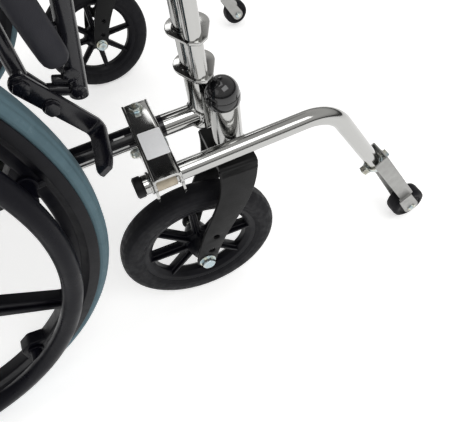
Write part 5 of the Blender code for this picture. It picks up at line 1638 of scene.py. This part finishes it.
def studio():
    world = bpy.data.worlds.new("studio")
    bpy.context.scene.world = world
    world.use_nodes = True
    tree = world.node_tree
    background = tree.nodes["Background"]
    place = tree.nodes.new("ShaderNodeTexCoord")
    split = tree.nodes.new("ShaderNodeSeparateXYZ")
    tree.links.new(place.outputs["Generated"], split.inputs[0])
    ramp = tree.nodes.new("ShaderNodeValToRGB")
    tree.links.new(split.outputs["Z"], ramp.inputs[0])
    heights = [(0.0, 0.10), (0.09, 0.12), (0.20, 0.72), (0.45, 1.0), (0.75, 0.95), (1.0, 0.80)]
    shade(ramp.color_ramp, heights)
    toward = tree.nodes.new("ShaderNodeVectorMath")
    toward.operation = "DOT_PRODUCT"
    tree.links.new(place.outputs["Generated"], toward.inputs[0])
    toward.inputs[1].default_value = Vector(DARK_SIDE).normalized()
    lobe = tree.nodes.new("ShaderNodeValToRGB")
    tree.links.new(toward.outputs["Value"], lobe.inputs[0])
    shade(lobe.color_ramp, [(0.0, 1.0), (0.925, 1.0), (0.968, 0.10), (1.0, 0.05)])
    darkened = tree.nodes.new("ShaderNodeMix")
    darkened.data_type = "RGBA"
    darkened.blend_type = "MULTIPLY"
    darkened.inputs[0].default_value = 1.0
    tree.links.new(ramp.outputs[0], darkened.inputs[6])
    tree.links.new(lobe.outputs[0], darkened.inputs[7])
    tree.links.new(darkened.outputs[2], background.inputs["Color"])
    background.inputs["Strength"].default_value = WORLD_STRENGTH
    area_light("key", (0.9, -1.6, 2.4), (0.3, -0.2, 0.25), (1.7, 1.2), 18)
    area_light("fill", (-1.6, -0.9, 1.8), (0.2, 0, 0.3), (1.8, 1.2), 3.5)
    area_light("back_strip", (0.6, 2.1, 1.7), (0.2, 0, 0.3), (1.6, 0.35), 4)
    area_light("top", (0.2, 0.0, 3.0), (0.2, 0.0, 0.0), (1.3, 1.3), 9)
    bpy.context.scene.view_settings.view_transform = "Standard"


def camera():
    azimuth, elevation, roll = CAMERA_AZIMUTH, CAMERA_ELEVATION, CAMERA_ROLL
    behind = Vector((sin(azimuth) * cos(elevation), -cos(azimuth) * cos(elevation), sin(elevation)))
    level = Vector((cos(azimuth), sin(azimuth), 0))
    upright = behind.cross(level)
    across = cos(roll) * level + sin(roll) * upright
    above = -sin(roll) * level + cos(roll) * upright
    data = bpy.data.cameras.new("camera")
    data.sensor_width = SENSOR
    data.sensor_fit = "HORIZONTAL"
    data.lens = LENS
    data.clip_start = 0.02
    made = bpy.data.objects.new("camera", data)
    bpy.context.scene.collection.objects.link(made)
    turn = Matrix((across, above, behind)).transposed().to_4x4()
    made.matrix_world = Matrix.Translation(CAMERA_AT + ORIGIN) @ turn
    bpy.context.scene.camera = made


for make in (back_cane, front_frame, lower_tube, push_grip, caster_cap, rear_axle, rear_wheel):
    make()
for make in (caster, bracket, tipper_tube, tipper_leg, lock, arm_rest, folding_frame, seat, back):
    make()
for make in (floor, studio, camera):
    make()
for side in ("right", "left"):
    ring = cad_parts[f"stem_bearing_{side}"]
    ring.material_slots[0].material = ZINC.material
